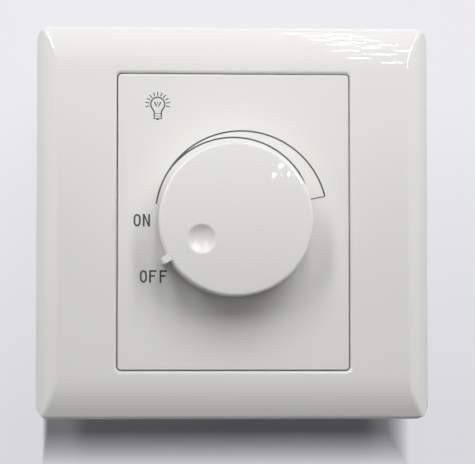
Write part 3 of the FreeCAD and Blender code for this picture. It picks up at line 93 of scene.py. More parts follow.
def start_finish(name, **values):
    """A material with one Principled shader; returns the material, its node tree and the shader."""
    finish = bpy.data.materials.new(name)
    finish.use_nodes = True
    tree = finish.node_tree
    tree.nodes.clear()
    shader = add(tree, "BsdfPrincipled", {key.replace("_", " "): value for key, value in values.items()})
    add(tree, "OutputMaterial", links={"Surface": shader.outputs["BSDF"]})
    return finish, tree, shader


def noise(tree, size_mm, detail=2.0, stretch=(1, 1, 1)):
    """The value of a noise whose blotches are about size_mm across on the piece."""
    place = add(tree, "TexCoord").outputs["Object"]
    spread = add(tree, "Mapping", {"Scale": stretch}, {"Vector": place}).outputs["Vector"]
    made = add(tree, "TexNoise", {"Scale": 1 / (size_mm * MM), "Detail": detail}, {"Vector": spread})
    return made.outputs["Fac"]


def blend_colours(tree, shader, factor, first, second):
    """Base colour that drifts between two tones along a pattern."""
    tones = {MIX_A: linear(first), MIX_B: linear(second)}
    mix = add(tree, "Mix", tones, {"Factor": factor}, data_type="RGBA")
    tree.links.new(mix.outputs[MIX_RESULT], shader.inputs["Base Color"])


# %% [markdown]
# ## Mouldings
# The frame and the panel come out of a polished mould, so they are glossy and mirror every point of the
# lamps. The knob's mould was polished less, which gives a slightly softer skin that is kinder to
# fingerprints. The base and the rear housing were never meant to be seen and are matt, with the fine grain
# of a spark-eroded mould. One function makes these and the darker mouldings inside: a colour that drifts a
# little, a gloss that isn't quite even and a grain of its own size. A flat white would look like paper.

# %% Moulded plastics
PLASTIC_IOR = 1.5
CLOUD_MM = 22.0                                 # from one drift of the colour to the next
GLOSS_DRIFT = 0.2                               # share by which the roughness comes and goes
GRAIN_STRENGTH = 0.5
finishes = {}


def moulding(slot, name, light, dark, roughness, grain_mm, grain_depth_mm):
    """A moulded plastic for one of the record's slots."""
    finish, tree, shader = start_finish(name, IOR=PLASTIC_IOR)
    blend_colours(tree, shader, noise(tree, CLOUD_MM), light, dark)
    limits = {"To Min": (1 - GLOSS_DRIFT) * roughness, "To Max": (1 + GLOSS_DRIFT) * roughness}
    sheen = add(tree, "MapRange", limits, {"Value": noise(tree, CLOUD_MM / 3, detail=4.0)})
    tree.links.new(sheen.outputs["Result"], shader.inputs["Roughness"])
    grain = add(tree, "Bump", {"Strength": GRAIN_STRENGTH, "Distance": grain_depth_mm * MM},
                {"Height": noise(tree, grain_mm, detail=3.0)})
    tree.links.new(grain.outputs["Normal"], shader.inputs["Normal"])
    finishes[slot] = finish


# Polished mould: clear reflections with a trace of ripple, about 6 mm from crest to crest.
moulding("gloss_white_plastic", "moulded_abs_gloss_white", "e6e5e2", "e4e3df", 0.045, 6.0, 0.0005)
# Less polished mould: the points of the lamps blur a little and the ripple is finer.
moulding("satin_white_plastic", "moulded_abs_satin_white", "e7e6e3", "e5e4e0", 0.05, 3.0, 0.0006)
# Spark-eroded mould: no clear reflections, only a fine grain of about 0.35 mm.
moulding("matt_white_plastic", "moulded_polycarbonate_matt_white", "e2e2de", "dcdcd7", 0.58, 0.35, 0.015)
# Cup and cam of the switch, and the wiper's disc: black, dull, with a little dust in the grain.
moulding("black_plastic", "moulded_nylon_black", "26262a", "2f2f33", 0.45, 0.5, 0.012)
# Film capacitor's box: a warm yellow with a soft gloss.
moulding("yellow_plastic", "moulded_case_yellow", "d9a62c", "cf9a25", 0.3, 1.0, 0.006)
# Power semiconductor's body: black epoxy, matt from the transfer mould.
moulding("black_epoxy", "moulded_epoxy_black", "1e1e20", "2a2a2c", 0.55, 0.3, 0.015)
# Pressed and sintered ferrite: dark grey, dull and slightly rough.
moulding("ferrite", "sintered_ferrite_dark", "35343a", "2c2b30", 0.62, 0.4, 0.02)
print("mouldings:", sorted(finishes))

# %% [markdown]
# ## Plated and bare metals
# Metal has no colour of its own beyond its reflection, so each one is a tint, a gloss and the marks of how
# it was made: rolled sheet has long fine streaks, plating has faint clouds. Stretching one noise along x
# gives the streaks, and leaving it round gives the clouds.

# %% Metals
ROLLED = (0.08, 1, 1)                           # stretch of the noise on rolled sheet
SMOOTHER, ROUGHER = 0.07, 0.09                  # how far the marks change the roughness each way


def metal(slot, name, bright, dull, roughness, mark_mm, stretch=(1, 1, 1)):
    """A metal for one of the record's slots."""
    finish, tree, shader = start_finish(name, Metallic=1.0)
    marks = noise(tree, mark_mm, detail=4.0, stretch=stretch)
    blend_colours(tree, shader, marks, bright, dull)
    limits = {"To Min": roughness - SMOOTHER, "To Max": roughness + ROUGHER}
    sheen = add(tree, "MapRange", limits, {"Value": marks})
    tree.links.new(sheen.outputs["Result"], shader.inputs["Roughness"])
    finishes[slot] = finish


# Bright zinc on the steel screws, small nut, washer, ring and potentiometer case: cool grey, faint clouds.
metal("zinc_plated_steel", "zinc_plated_steel_bright", "c9ccd0", "b4b8bd", 0.32, 2.5)
# Nickel on the turned brass shaft, bushing and nut: warmer and smoother than zinc.
metal("nickel_plated_brass", "nickel_plated_brass_bright", "cfc9bb", "c3bcab", 0.22, 3.0)
# Tin on the lugs, the wiper and the switch's blades: soft grey, a little blurred.
metal("tinned_brass", "tinned_brass_dull", "c4c3be", "aeada8", 0.38, 1.5)
# Bare brass terminals: yellow, streaked by rolling.
metal("plain_brass", "rolled_brass_sheet", "d8b25c", "c39a45", 0.3, 0.6, ROLLED)
# Mill-finish aluminium of the heat sink: pale, with the rolling lines about 0.5 mm apart.
metal("mill_aluminium", "mill_finish_aluminium", "d3d4d5", "bcbec0", 0.36, 0.5, ROLLED)
print("finishes so far:", len(finishes))

# %% [markdown]
# ## Board, coils and lacquers
# The small parts on the board each have a finish that tells what they are: brown paper laminate with its
# fibres, copper wire under a clear enamel, glazed resistors, a glass fuse. They sit inside a closed housing
# and only show through the cooling slots, so each gets its true colour and one mark of its making.

# %% Board and component finishes
def lacquer(slot, name, light, dark, roughness, mark_mm, **values):
    """A coat, glaze or laminate for one of the record's slots."""
    finish, tree, shader = start_finish(name, Roughness=roughness, **values)
    blend_colours(tree, shader, noise(tree, mark_mm, detail=3.0), light, dark)
    finishes[slot] = finish


# Paper laminate bound with phenolic resin: brown, with fibres about 0.8 mm long.
lacquer("phenolic_laminate", "phenolic_paper_laminate", "a9743f", "8a5a2e", 0.45, 0.8)
# Copper wire under clear enamel: a metal with a warm coat.
lacquer("enamelled_copper", "enamelled_copper_wire", "b4602f", "96481f", 0.3, 0.8,
        Metallic=1.0, Coat_Weight=0.6)
# Dipped epoxy of the small capacitor: green, glossy and a bit lumpy.
lacquer("green_epoxy", "dipped_epoxy_green", "3d7a4a", "336b40", 0.25, 1.2, Coat_Weight=0.3)
# Glass tube of the fuse: clear, faintly green.
lacquer("fuse_glass", "drawn_glass_clear", "e8f0ea", "dfe9e2", 0.05, 3.0, Transmission_Weight=0.85, IOR=1.52)
# Fired lacquer of the resistors: tan.
lacquer("resistor_lacquer", "fired_lacquer_tan", "c9a878", "bd9a68", 0.35, 1.0)
# Lacquer of the diac: blue.
lacquer("blue_lacquer", "fired_lacquer_blue", "2f5fa6", "284f8d", 0.3, 1.0)
print("finishes:", len(finishes))

# %% [markdown]
# ## Dressing the CAD nodes
# Each CAD node comes in with a plain material that is named for its slot in the record. Swapping it for the
# finish of that slot dresses the node and leaves its shape alone. Blender adds a dot and a number to a name
# that is taken, so only what stands before the dot counts.

# %% Put the finishes on the CAD nodes
for piece in nodes.values():
    for holder in piece.material_slots:
        holder.material = finishes[holder.material.name.split(".")[0]]
print("dressed", len(nodes), "nodes")

# %% [markdown]
# ## Hand tools
# Modelling by script is the same work as by hand, and an operator acts on everything that is selected, so
# each piece starts with nothing selected. A finished piece gets its name, and its place goes into its mesh,
# as with the CAD nodes. Pieces that belong together are joined.

# %% Selecting, joining and naming
def deselect():
    """Leaves nothing selected, in object mode."""
    if bpy.context.mode != "OBJECT":
        bpy.ops.object.mode_set(mode="OBJECT")
    bpy.ops.object.select_all(action="DESELECT")


def join(pieces):
    """Makes one piece of several."""
    deselect()
    for piece in pieces:
        piece.select_set(True)
    bpy.context.view_layer.objects.active = pieces[0]
    bpy.ops.object.join()
    return pieces[0]


def settle(piece, name):
    """Names a piece and puts its place into its mesh, so that its object sits at the origin."""
    deselect()
    piece.select_set(True)
    bpy.context.view_layer.objects.active = piece
    bpy.ops.object.transform_apply(location=True, rotation=True, scale=True)
    piece.name = piece.data.name = name
    return piece


# %% [markdown]
# ## Printing ink
# The signs are pad printed: a soft pad lifts a film of grey ink and presses it on the panel. The film is
# matt and about a hundredth of a millimetre thick; here it stands 0.03 mm proud, so that its face never
# shares a plane with the panel's. Its edge is slightly uneven, which the noise in its colour suggests.

# %% Ink
INK = 0.03 * MM
ink_finish, ink_tree, ink_shader = start_finish("pad_printing_ink_grey", Roughness=0.5)
blend_colours(ink_tree, ink_shader, noise(ink_tree, 0.4), "3c3c3e", "4a4a4c")


def print_on_panel(piece, name):
    """Gives a flat sign its ink and lets it ride on the fixed body."""
    settle(piece, name)
    piece.data.materials.clear()
    piece.data.materials.append(ink_finish)
    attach(piece, "switch_body")
    print(f"{name}: {len(piece.data.polygons)} faces")


# %% [markdown]
# ## A pen that draws ink lines
# The wedge and the bulb are line drawings. A pen made of one vertex draws them: extruding the vertex draws
# a straight line, spinning it draws an arc. The finished line becomes a curve for a moment, which gives it
# an even thickness, then a mesh again, pressed flat on the panel.

# %% Pen
def pen_start(x, z):
    """One vertex on the panel's front, in edit mode."""
    deselect()
    bpy.ops.mesh.primitive_plane_add(size=MM, location=(x, PANEL_FRONT, z))
    bpy.ops.object.transform_apply(location=True)
    bpy.ops.object.mode_set(mode="EDIT")
    bpy.ops.mesh.merge(type="CENTER")


def pen_line(x, z):
    """Draws a straight line by a step to the right and a step upwards."""
    bpy.ops.mesh.extrude_region_move(TRANSFORM_OT_translate={"value": (x, 0, z)})


def pen_arc(x, z, turn, steps):
    """Draws an arc round a centre, clockwise as seen from the room, by a turn in degrees."""
    bpy.ops.mesh.spin(steps=steps, angle=-math.radians(turn), center=(x, PANEL_FRONT, z), axis=(0, 1, 0))


def pen_lift(width, closed=False):
    """Turns what was drawn into a flat line of ink of that width."""
    if closed:
        bpy.ops.mesh.select_all(action="SELECT")
        bpy.ops.mesh.remove_doubles(threshold=width / 4)
    bpy.ops.object.mode_set(mode="OBJECT")
    bpy.ops.object.convert(target="CURVE")
    line = bpy.context.object
    line.data.dimensions = "3D"
    line.data.bevel_depth = width / 2
    line.data.bevel_resolution = 2
    line.data.use_fill_caps = True
    bpy.ops.object.convert(target="MESH")
    bpy.ops.object.mode_set(mode="EDIT")
    bpy.ops.mesh.select_all(action="SELECT")
    bpy.ops.transform.resize(value=(1, 2 * INK / width, 1), center_override=(0, PANEL_FRONT, 0))
    bpy.ops.mesh.normals_make_consistent(inside=False)
    bpy.ops.object.mode_set(mode="OBJECT")
    return bpy.context.object


# %% [markdown]
# ## The brightness wedge
# Round the knob runs a wedge that grows from left to right: turn that way for more light. Two arcs with
# centres a little apart make it, the outer one long, the inner one nearly on the knob's axis and bent in at
# its broad end, where the knob's rim hides it. A short line closes that end. It is drawn in one stroke, from
# the thin end over the top and back.

# %% Draw the wedge
LINE = 0.36 * MM
OUTER = (1.73 * MM, 1.09 * MM, 18.8 * MM)       # centre and radius
INNER = (-0.01 * MM, 1.21 * MM, 17.25 * MM)
OUTER_FROM, OUTER_TO = 171.5, 14.0              # degrees, anticlockwise from the right
INNER_FROM, INNER_TO = 2.6, 146.0
BEND, END_RADIUS = 36.0, 12.0 * MM              # where the inner arc starts to bend in, and how tightly


def on_circle(circle, angle):
    """The point of a circle at an angle in degrees."""
    x, z, radius = circle
    return x + radius * math.cos(math.radians(angle)), z + radius * math.sin(math.radians(angle))


END = (*on_circle((INNER[0], INNER[1], INNER[2] - END_RADIUS), BEND), END_RADIUS)
corner, inner_corner = on_circle(OUTER, OUTER_TO), on_circle(END, INNER_FROM)
pen_start(*on_circle(OUTER, OUTER_FROM))
pen_arc(OUTER[0], OUTER[1], OUTER_FROM - OUTER_TO, steps=96)
pen_line(inner_corner[0] - corner[0], inner_corner[1] - corner[1])
pen_arc(END[0], END[1], INNER_FROM - BEND, steps=20)
pen_arc(INNER[0], INNER[1], BEND - INNER_TO, steps=66)
print_on_panel(pen_lift(LINE), "printed_brightness_wedge")

# %% [markdown]
# ## The lamp sign
# A bulb with rays is the common sign for a light. Its outline is one closed stroke: up the cap, out along
# the shoulder, round the glass and back down. The rays are one short line that is copied round the glass.

# %% Draw the bulb
BULB_X, BULB_Z = -16.58 * MM, 25.65 * MM
GLASS = 1.52 * MM
SHOULDER = 206.4                                # degrees, where the glass leaves the circle
NECK = ((0.83, -3.14), (0.76, -2.0), (0.8, -1.62), (0.97, -1.3))    # from the cap's foot up, in mm
BULB_LINE, FINE_LINE = 0.3 * MM, 0.22 * MM

shoulder = on_circle((0, 0, GLASS), SHOULDER)
left_side = [(-x * MM, z * MM) for x, z in NECK] + [shoulder]
outline = left_side + [(-x, z) for x, z in reversed(left_side)]
pen_start(BULB_X + left_side[0][0], BULB_Z + left_side[0][1])
for here, there in zip(outline, outline[1:]):
    if here == shoulder:
        pen_arc(BULB_X, BULB_Z, 2 * SHOULDER - 180, steps=40)
    else:
        pen_line(there[0] - here[0], there[1] - here[1])
pen_line(2 * left_side[0][0], 0)
strokes = [pen_lift(BULB_LINE, closed=True)]

# %% Draw the cap's thread and foot, and the filament
THREAD_Z = (-2.05 * MM, -2.58 * MM)
THREAD_LINE, FILAMENT_LINE = 0.6 * FINE_LINE, 1.5 * FINE_LINE
FILAMENT_X, FILAMENT_Z = -0.69 * MM, 0.54 * MM
FILAMENT = ((0.4, -1.08), (0.28, 1.02), (0.28, -1.0), (0.37, 1.06))     # steps down and up, in mm
for height in THREAD_Z:
    pen_start(BULB_X + left_side[1][0], BULB_Z + height)
    pen_line(-2 * left_side[1][0], 0)
    strokes.append(pen_lift(THREAD_LINE))
pen_start(BULB_X - BULB_LINE, BULB_Z + left_side[0][1] - BULB_LINE / 2)
pen_line(2 * BULB_LINE, 0)
strokes.append(pen_lift(BULB_LINE))
pen_start(BULB_X + FILAMENT_X, BULB_Z + FILAMENT_Z)
for step_x, step_z in FILAMENT:
    pen_line(step_x * MM, step_z * MM)
strokes.append(pen_lift(FILAMENT_LINE))

# %% Copy the rays round the glass
RAYS, FIRST_RAY, RAY_STEP = 11, -101.5, 20.33   # degrees, from the upright one
RAY_FROM, RAY_TO = 1.85 * MM, 2.74 * MM
pen_start(BULB_X, BULB_Z + RAY_FROM)
pen_line(0, RAY_TO - RAY_FROM)
ray = pen_lift(FINE_LINE)
for i in range(RAYS):
    deselect()
    ray.select_set(True)
    bpy.context.view_layer.objects.active = ray
    bpy.ops.object.duplicate()
    bpy.ops.object.mode_set(mode="EDIT")
    bpy.ops.mesh.select_all(action="SELECT")
    bpy.ops.transform.rotate(value=math.radians(FIRST_RAY + i * RAY_STEP), orient_axis="Y",
                             center_override=(BULB_X, PANEL_FRONT, BULB_Z))
    bpy.ops.object.mode_set(mode="OBJECT")
    strokes.append(bpy.context.object)
bpy.data.objects.remove(ray)
print_on_panel(join(strokes), "printed_bulb_sign")

# %% [markdown]
# ## The words ON and OFF
# The letters are narrow capitals 2.75 mm high with one stroke width. F and N grow from an upright strip,
# whose side is divided and pulled out into the arms. O starts as a circle, is stretched tall, then inset by
# the stroke, and its middle is taken away. A thin solidify gives each one the body of the ink. As by hand,
# edges are picked before a tool acts on them; in code they are picked by the place of their middle.

# %% Letter tools
CAP, WIDTH, STROKE = 2.75 * MM, 1.57 * MM, 0.4 * MM
CLOSE = 0.02 * MM                               # how near a place has to be to count as there


def pick(kind, test):
    """In edit mode, selects the VERT or EDGE elements whose middle passes the test."""
    bpy.ops.mesh.select_mode(type=kind)
    bpy.ops.mesh.select_all(action="DESELECT")
    mesh = bmesh.from_edit_mesh(bpy.context.edit_object.data)
    for item in {"VERT": mesh.verts, "EDGE": mesh.edges}[kind]:
        corners = [item] if kind == "VERT" else item.verts
        middle = sum((v.co for v in corners), start=corners[0].co * 0) / len(corners)
        item.select_set(test(middle))
    mesh.select_flush_mode()
    bmesh.update_edit_mesh(bpy.context.edit_object.data)


def strip(x, z):
    """The upright of a letter whose lower left corner is at x, z, in edit mode."""
    deselect()
    bpy.ops.mesh.primitive_plane_add(size=1, rotation=(math.pi / 2, 0, 0),
                                     location=(x + STROKE / 2, PANEL_FRONT, z + CAP / 2))
    bpy.context.object.scale = (STROKE, CAP, 1)
    bpy.ops.object.transform_apply(location=True, rotation=True, scale=True)
    bpy.ops.object.mode_set(mode="EDIT")


def divide(height):
    """A cut across the letter."""
    bpy.ops.mesh.select_all(action="SELECT")
    bpy.ops.mesh.bisect(plane_co=(0, PANEL_FRONT, height), plane_no=(0, 0, 1))


def pull(test, x, z):
    """Pulls the edges that pass the test out into a new arm."""
    pick("EDGE", test)
    bpy.ops.mesh.extrude_region_move(TRANSFORM_OT_translate={"value": (x, 0, z)})


def ink_body():
    """Faces the letter to the room and gives it the ink's thickness."""
    bpy.ops.mesh.select_all(action="SELECT")
    bpy.ops.mesh.remove_doubles(threshold=CLOSE / 4)
    bpy.ops.mesh.normals_make_consistent(inside=False)
    mesh = bmesh.from_edit_mesh(bpy.context.edit_object.data)
    if sum(face.normal.y for face in mesh.faces) > 0:
        bpy.ops.mesh.flip_normals()
    bpy.ops.object.mode_set(mode="OBJECT")
    film = bpy.context.object.modifiers.new("film", "SOLIDIFY")
    film.thickness, film.offset = INK, 1.0
    bpy.ops.object.modifier_apply(modifier=film.name)
    return bpy.context.object


# %% Letters
ARM_HEIGHT, SHORT_ARM = 0.47, 0.8               # F: shares of the height and the width
SLANT = 0.3                                     # N: share of the upright that the slanting stroke takes
STRETCH = 1.3                                   # O: how much taller than wide its round ends are


def letter_f(x, z):
    """F, with its lower left corner at x, z."""
    right, top = x + STROKE, z + CAP
    arm_low = z + ARM_HEIGHT * CAP
    strip(x, z)
    for height in (top - STROKE, arm_low, arm_low + STROKE):
        divide(height)
    pull(lambda m: m.x > right - CLOSE and m.z > top - STROKE, WIDTH - STROKE, 0)
    pull(lambda m: abs(m.x - right) < CLOSE and arm_low < m.z < arm_low + STROKE,
         SHORT_ARM * WIDTH - STROKE, 0)
    return ink_body()


def letter_n(x, z):
    """N, with its lower left corner at x, z."""
    right, top = x + STROKE, z + CAP
    slant = SLANT * CAP
    strip(x, z)
    divide(top - slant)
    pull(lambda m: m.x > right - CLOSE and m.z > top - slant, WIDTH - 2 * STROKE, slant - CAP)
    pull(lambda m: m.x > x + WIDTH - STROKE - CLOSE, STROKE, 0)
    pull(lambda m: m.x > x + WIDTH - STROKE + CLOSE and m.x < x + WIDTH - CLOSE and m.z > z + slant - CLOSE,
         0, CAP - slant)
    return ink_body()


def letter_o(x, z):
    """O, with its lower left corner at x, z."""
    middle = (x + WIDTH / 2, PANEL_FRONT, z + CAP / 2)
    deselect()
    bpy.ops.mesh.primitive_circle_add(vertices=48, radius=WIDTH / 2, fill_type="NGON",
                                      rotation=(math.pi / 2, 0, 0), location=middle)
    bpy.ops.object.transform_apply(location=True, rotation=True)
    bpy.ops.object.mode_set(mode="EDIT")
    bpy.ops.transform.resize(value=(1, 1, STRETCH), center_override=middle)
    for side in (-1, 1):
        pick("VERT", lambda m: side * (m.z - z - CAP / 2) > CLOSE)
        bpy.ops.transform.translate(value=(0, 0, side * (CAP - STRETCH * WIDTH) / 2))
    bpy.ops.mesh.select_mode(type="FACE")
    bpy.ops.mesh.select_all(action="SELECT")
    bpy.ops.mesh.inset(thickness=STROKE)
    bpy.ops.mesh.delete(type="FACE")
    return ink_body()


# %% Print the words
ON_Z, ON_LETTERS = -1.09 * MM, ((letter_o, -21.8 * MM), (letter_n, -19.79 * MM))
OFF_Z, OFF_LETTERS = -13.33 * MM, ((letter_o, -20.42 * MM), (letter_f, -18.38 * MM), (letter_f, -16.12 * MM))
print_on_panel(join([draw(x, ON_Z) for draw, x in ON_LETTERS]), "printed_on")
print_on_panel(join([draw(x, OFF_Z) for draw, x in OFF_LETTERS]), "printed_off")

# %% [markdown]
# ## Backdrop
# The switch lies on a sheet of white paper, just clear of the rear housing. The sheet shows only its front,
# and light passes through it, so the housing can be looked at from behind too. Its look is mostly painted
# light:
# for the eye the paper glows as a lit backdrop would, instead of showing most of its real shading, and the
# glow is painted darker towards the bottom. Right under the plate the glow is black, a painted shadow that
# deepens the plate's real shadow there.

# %% Backdrop
SHEET_GAP, SHEET_SIZE = 0.6 * MM, 4.0
# The fades mark the edges of the painted shadow under the plate: inside them the glow is black, outside it is
# full.
LEFT_FADE, RIGHT_FADE = (-41.3, -42.6), (37.3, 43.0)    # in mm, where the glow starts and where it is full
LOW_FADE, HIGH_FADE = (-46.8, -55.5), (-43.5, -40.0)
# Painted light and shade: in the painted shadow 0.57 of the look is black glow, elsewhere 0.93 is glow, and
# the glow is painted darker low down.
PAINTED_SHADOW_SHARE, PAINTED_LIGHT_SHARE = 0.57, 0.93                   # how much of the paper's look is glow
LEVEL_FADE, LEVELS = (-45.0, 30.0), (0.74, 0.87)        # the glow is weaker low down
deselect()
bpy.ops.mesh.primitive_plane_add(size=SHEET_SIZE, location=(0, cad_box[1].y + SHEET_GAP, 0),
                                 rotation=(math.pi / 2, 0, 0))
sheet = settle(bpy.context.object, "backdrop_sheet")
# Matt paper. The eye sees a painted glow on it, and black glow in the painted shadow under the plate.
sheet_finish, sheet_tree, sheet_shader = start_finish("paper_sheet_white", Roughness=0.9)
blend_colours(sheet_tree, sheet_shader, noise(sheet_tree, 60.0), "e6e8f4", "e3e5f1")
spot = add(sheet_tree, "SeparateXYZ", links={"Vector": add(sheet_tree, "TexCoord").outputs["Object"]}).outputs


def ramp(axis, places_mm, levels=(0.0, 1.0)):
    """A value that goes from one level to the other between two places on the sheet."""
    limits = {"From Min": places_mm[0] * MM, "From Max": places_mm[1] * MM}
    limits.update({"To Min": levels[0], "To Max": levels[1]})
    return add(sheet_tree, "MapRange", limits, {"Value": spot[axis]}).outputs["Result"]


# The painted light mask is 0 in the painted shadow under the plate and 1 where the full painted glow is.
painted_light_mask = ramp("X", LEFT_FADE)
for other in (ramp("X", RIGHT_FADE), ramp("Z", LOW_FADE), ramp("Z", HIGH_FADE)):
    painted_light_mask = add(sheet_tree, "Math", links={0: painted_light_mask, 1: other}, operation="MAXIMUM").outputs[0]
shares = {1: PAINTED_LIGHT_SHARE - PAINTED_SHADOW_SHARE, 2: PAINTED_SHADOW_SHARE}
share = add(sheet_tree, "Math", shares, {0: painted_light_mask}, operation="MULTIPLY_ADD").outputs[0]
paths = add(sheet_tree, "LightPath").outputs
# For the eye only: where the mask is 1, the glow is painted light; where it is 0, the black glow darkens the
# paper as a painted shadow.
seen = add(sheet_tree, "Math", links={0: share, 1: paths["Is Camera Ray"]}, operation="MULTIPLY").outputs[0]
level = add(sheet_tree, "Math", links={0: painted_light_mask, 1: ramp("Z", LEVEL_FADE, LEVELS)}, operation="MULTIPLY")
glow = add(sheet_tree, "Emission", {"Color": linear("fbfaff")}, {"Strength": level.outputs[0]}).outputs[0]
lit = add(sheet_tree, "MixShader", links={0: seen, 1: sheet_shader.outputs["BSDF"], 2: glow}).outputs[0]
behind = add(sheet_tree, "NewGeometry").outputs["Backfacing"]
through = add(sheet_tree, "Math", links={0: behind, 1: paths["Is Shadow Ray"]}, operation="MAXIMUM")
clear = add(sheet_tree, "BsdfTransparent").outputs["BSDF"]
one_sided = add(sheet_tree, "MixShader", links={0: through.outputs[0], 1: lit, 2: clear})
sheet_tree.links.new(one_sided.outputs["Shader"], sheet_tree.nodes["Material Output"].inputs["Surface"])
sheet.data.materials.append(sheet_finish)
print(f"backdrop {SHEET_GAP / MM:.1f} mm behind the housing")

# %% [markdown]
# ## Light
# Three tall lamps in a row above the camera light the plate. Under the knob their shadows lie on one another
# and are deep; left and right of it only one lamp is covered, so two paler shadows flank the deep one. One
# more lamp stands behind the switch and shows the housing in views from there.

# %% Lamps
BOARD_OUT, BOARD_UP, BOARD_TALL = 350, 280, 380         # in mm, for all three boards
BOARDS = (("left", -150, 50, 0.92), ("top", 20, 60, 0.53), ("right", 150, 50, 0.95))  # place, width, watts


def lamp(name, place_mm, aim_mm, size_mm, watts):
    """A soft rectangular lamp that looks at a point."""
    made = bpy.data.lights.new(name, "AREA")
    made.shape, made.size, made.size_y = "RECTANGLE", size_mm[0] * MM, size_mm[1] * MM
    made.energy = watts
    holder = bpy.data.objects.new(name, made)
    bpy.context.scene.collection.objects.link(holder)
    holder.location = [c * MM for c in place_mm]
    way = holder.location.copy()
    for i in range(3):
        way[i] -= aim_mm[i] * MM
    holder.rotation_euler = way.to_track_quat("Z", "Y").to_euler()
    return holder


for name, x, width, watts in BOARDS:
    board = lamp(name + "_board", (x, -BOARD_OUT, BOARD_UP), (x, 0, BOARD_UP), (width, BOARD_TALL), watts)
    board.visible_glossy = False                        # its points are mirrored instead
lamp("rear_fill", place_mm=(-250, 500, 250), aim_mm=(0, 10, 0), size_mm=(300, 300), watts=1.3)
print(len(BOARDS), "boards and a lamp behind")

# %% [markdown]
# ## Points of the lamps
# Each lamp is a board of small bright points. Glossy plastic mirrors them one by one, as a lattice of glints
# on the curved band and as a few sparks on the knob. One point is modelled and copied. A tall bright edge
# stands further out on each side; only the mitres and the rounded rims turn far enough to mirror it, as a
# fine line of light. All of these show only as reflections, since the boards already give their light.

# %% Where the points are
LOW_Z = 86.0                                            # in mm, from which the rows are counted
SPARKS = ((74.0, LOW_Z), (95.0, LOW_Z), (84.5, LOW_Z + 12.0))   # three low points, mirrored by the knob
FIRST_X, COLUMN_STEP, COLUMNS = 65.6, 11.5, 3
ROW_STEP, ROWS = 89.0, 6
SPARK_SIZE, GLINT_SIZE, GLINT_GROWTH = 0.5, 1.1, 0.1
places = [(x, z, SPARK_SIZE, SPARK_SIZE) for x, z in SPARKS]
for column in range(COLUMNS):
    for row in range(1, ROWS + 1):
        step = row - 0.5 * (column % 2)
        tall = GLINT_SIZE + GLINT_GROWTH * step         # the higher ones are seen more aslant
        places.append((FIRST_X + column * COLUMN_STEP, LOW_Z + step * ROW_STEP, GLINT_SIZE, tall))
print(len(places), "points on each side")

# %% Model the points and edges
POINT_WIDE, POINT_TALL, POINT_ROUND = 5 * MM, 8 * MM, 2.2 * MM
EDGE_X, EDGE_WIDE, EDGE_ROUND = 200 * MM, 16 * MM, 7 * MM
POINT_GLOW = 80.0


def bright_plate(wide, tall, corner_round, place=(0, 0, 0)):
    """An upright plate with rounded corners, with its place in its mesh."""
    deselect()
    bpy.ops.mesh.primitive_plane_add(size=1, rotation=(math.pi / 2, 0, 0), location=place)
    bpy.context.object.scale = (wide, tall, 1)
    bpy.ops.object.transform_apply(location=True, rotation=True, scale=True)
    bpy.ops.object.mode_set(mode="EDIT")
    bpy.ops.mesh.select_all(action="SELECT")
    bpy.ops.mesh.bevel(offset=corner_round, segments=4, affect="VERTICES")
    bpy.ops.object.mode_set(mode="OBJECT")
    return bpy.context.object


point = bright_plate(POINT_WIDE, POINT_TALL, POINT_ROUND)
points = []
for side in (-1, 1):
    for x, z, wide, tall in places:
        deselect()
        point.select_set(True)
        bpy.context.view_layer.objects.active = point
        bpy.ops.object.duplicate()
        bpy.context.object.location = (side * x * MM, -BOARD_OUT * MM, z * MM)
        bpy.context.object.scale = (wide, 1, tall)
        points.append(bpy.context.object)
bpy.data.objects.remove(point)
for side in (-1, 1):
    place = (side * EDGE_X, -BOARD_OUT * MM, BOARD_UP * MM)
    points.append(bright_plate(EDGE_WIDE, BOARD_TALL * MM, EDGE_ROUND, place))
lamp_points = settle(join(points), "lamp_points")
point_glow = bpy.data.materials.new("lamp_point_glow")
point_glow.use_nodes = True
point_glow.node_tree.nodes.clear()
light = add(point_glow.node_tree, "Emission", {"Strength": POINT_GLOW})
add(point_glow.node_tree, "OutputMaterial", links={"Surface": light.outputs["Emission"]})
lamp_points.data.materials.append(point_glow)
for kind in ("camera", "diffuse", "transmission", "volume_scatter", "shadow"):
    setattr(lamp_points, "visible_" + kind, False)
print(len(points), "lamp points and edges")

# %% [markdown]
# ## Surroundings
# The rest of the studio gives little light of its own. Most of it comes from the sides, and there more from
# above than from below, which leaves the shadow under the knob deep. The eye, mirrors and glass see a plain
# pale surrounding.

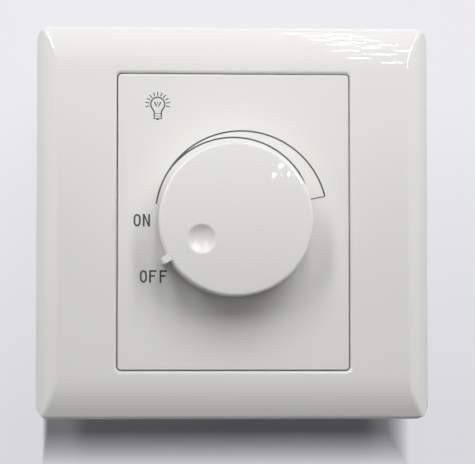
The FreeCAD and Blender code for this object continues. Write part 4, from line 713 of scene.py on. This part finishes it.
# %% World
SIDE_LIGHT, SIDE_FOCUS, SIDE_RISE = 4.4, 16.0, 1.5      # strength, how narrow, and how much more from above
UPRIGHT_LIGHT = 0.13                                    # from straight above and below
PALE_LOW, PALE_HIGH = 0.7, 1.0                          # what the eye sees, from below to above
world = bpy.data.worlds.new("studio")
bpy.context.scene.world = world
world.use_nodes = True
studio = world.node_tree
studio.nodes.clear()
way = add(studio, "SeparateXYZ", links={"Vector": add(studio, "TexCoord").outputs["Generated"]}).outputs
sideways = add(studio, "Math", links={0: way["X"]}, operation="ABSOLUTE").outputs[0]
narrow = add(studio, "Math", {1: SIDE_FOCUS}, {0: sideways}, operation="POWER").outputs[0]
higher = add(studio, "Math", {1: SIDE_RISE, 2: 1.0}, {0: way["Z"]}, operation="MULTIPLY_ADD").outputs[0]
from_sides = add(studio, "Math", links={0: narrow, 1: higher}, operation="MULTIPLY").outputs[0]
from_sides = add(studio, "Math", {1: SIDE_LIGHT}, {0: from_sides}, operation="MULTIPLY").outputs[0]
upright = add(studio, "Math", links={0: way["Z"]}, operation="ABSOLUTE").outputs[0]
fill = add(studio, "Math", {1: UPRIGHT_LIGHT}, {0: upright, 2: from_sides}, operation="MULTIPLY_ADD")
studio_light = add(studio, "Background", {"Color": linear("f8f7f4")}, {"Strength": fill.outputs[0]})
pale_ends = {"From Min": -1.0, "To Min": PALE_LOW, "To Max": PALE_HIGH}
pale = add(studio, "MapRange", pale_ends, {"Value": way["Z"]}).outputs["Result"]
backdrop = add(studio, "Background", {"Color": linear("f6f7fa")}, {"Strength": pale}).outputs[0]
rays = add(studio, "LightPath").outputs
seen = rays["Is Camera Ray"]
for kind in ("Is Glossy Ray", "Is Transmission Ray"):
    seen = add(studio, "Math", links={0: seen, 1: rays[kind]}, operation="MAXIMUM").outputs[0]
mixed = add(studio, "MixShader", links={0: seen, 1: studio_light.outputs[0], 2: backdrop})
add(studio, "OutputWorld", links={"Surface": mixed.outputs["Shader"]})
print("world:", world.name)

# %% [markdown]
# ## Camera
# The camera stands half a metre in front of the plate, a little to the left of its middle and below it, and
# looks slightly up and to the right. From there the lower and the left flank of the knob just show. The long
# lens keeps the plate's edges nearly parallel.

# %% Camera
CAMERA_MM = (-25.11, -509.0, -27.49)
LOOK_UP, LOOK_RIGHT = math.radians(2.891), math.radians(2.975)
LENS_MM, SENSOR_MM = 174.1, 36.0
NEAR, FAR = 0.01, 20.0
deselect()
bpy.ops.object.camera_add(location=[c * MM for c in CAMERA_MM],
                          rotation=(math.pi / 2 + LOOK_UP, 0, -LOOK_RIGHT))
camera = bpy.context.object
camera.data.lens, camera.data.sensor_width = LENS_MM, SENSOR_MM
camera.data.clip_start, camera.data.clip_end = NEAR, FAR
bpy.context.scene.camera = camera
bpy.context.scene.view_settings.view_transform = "Standard"
print(f"camera at {CAMERA_MM} mm")
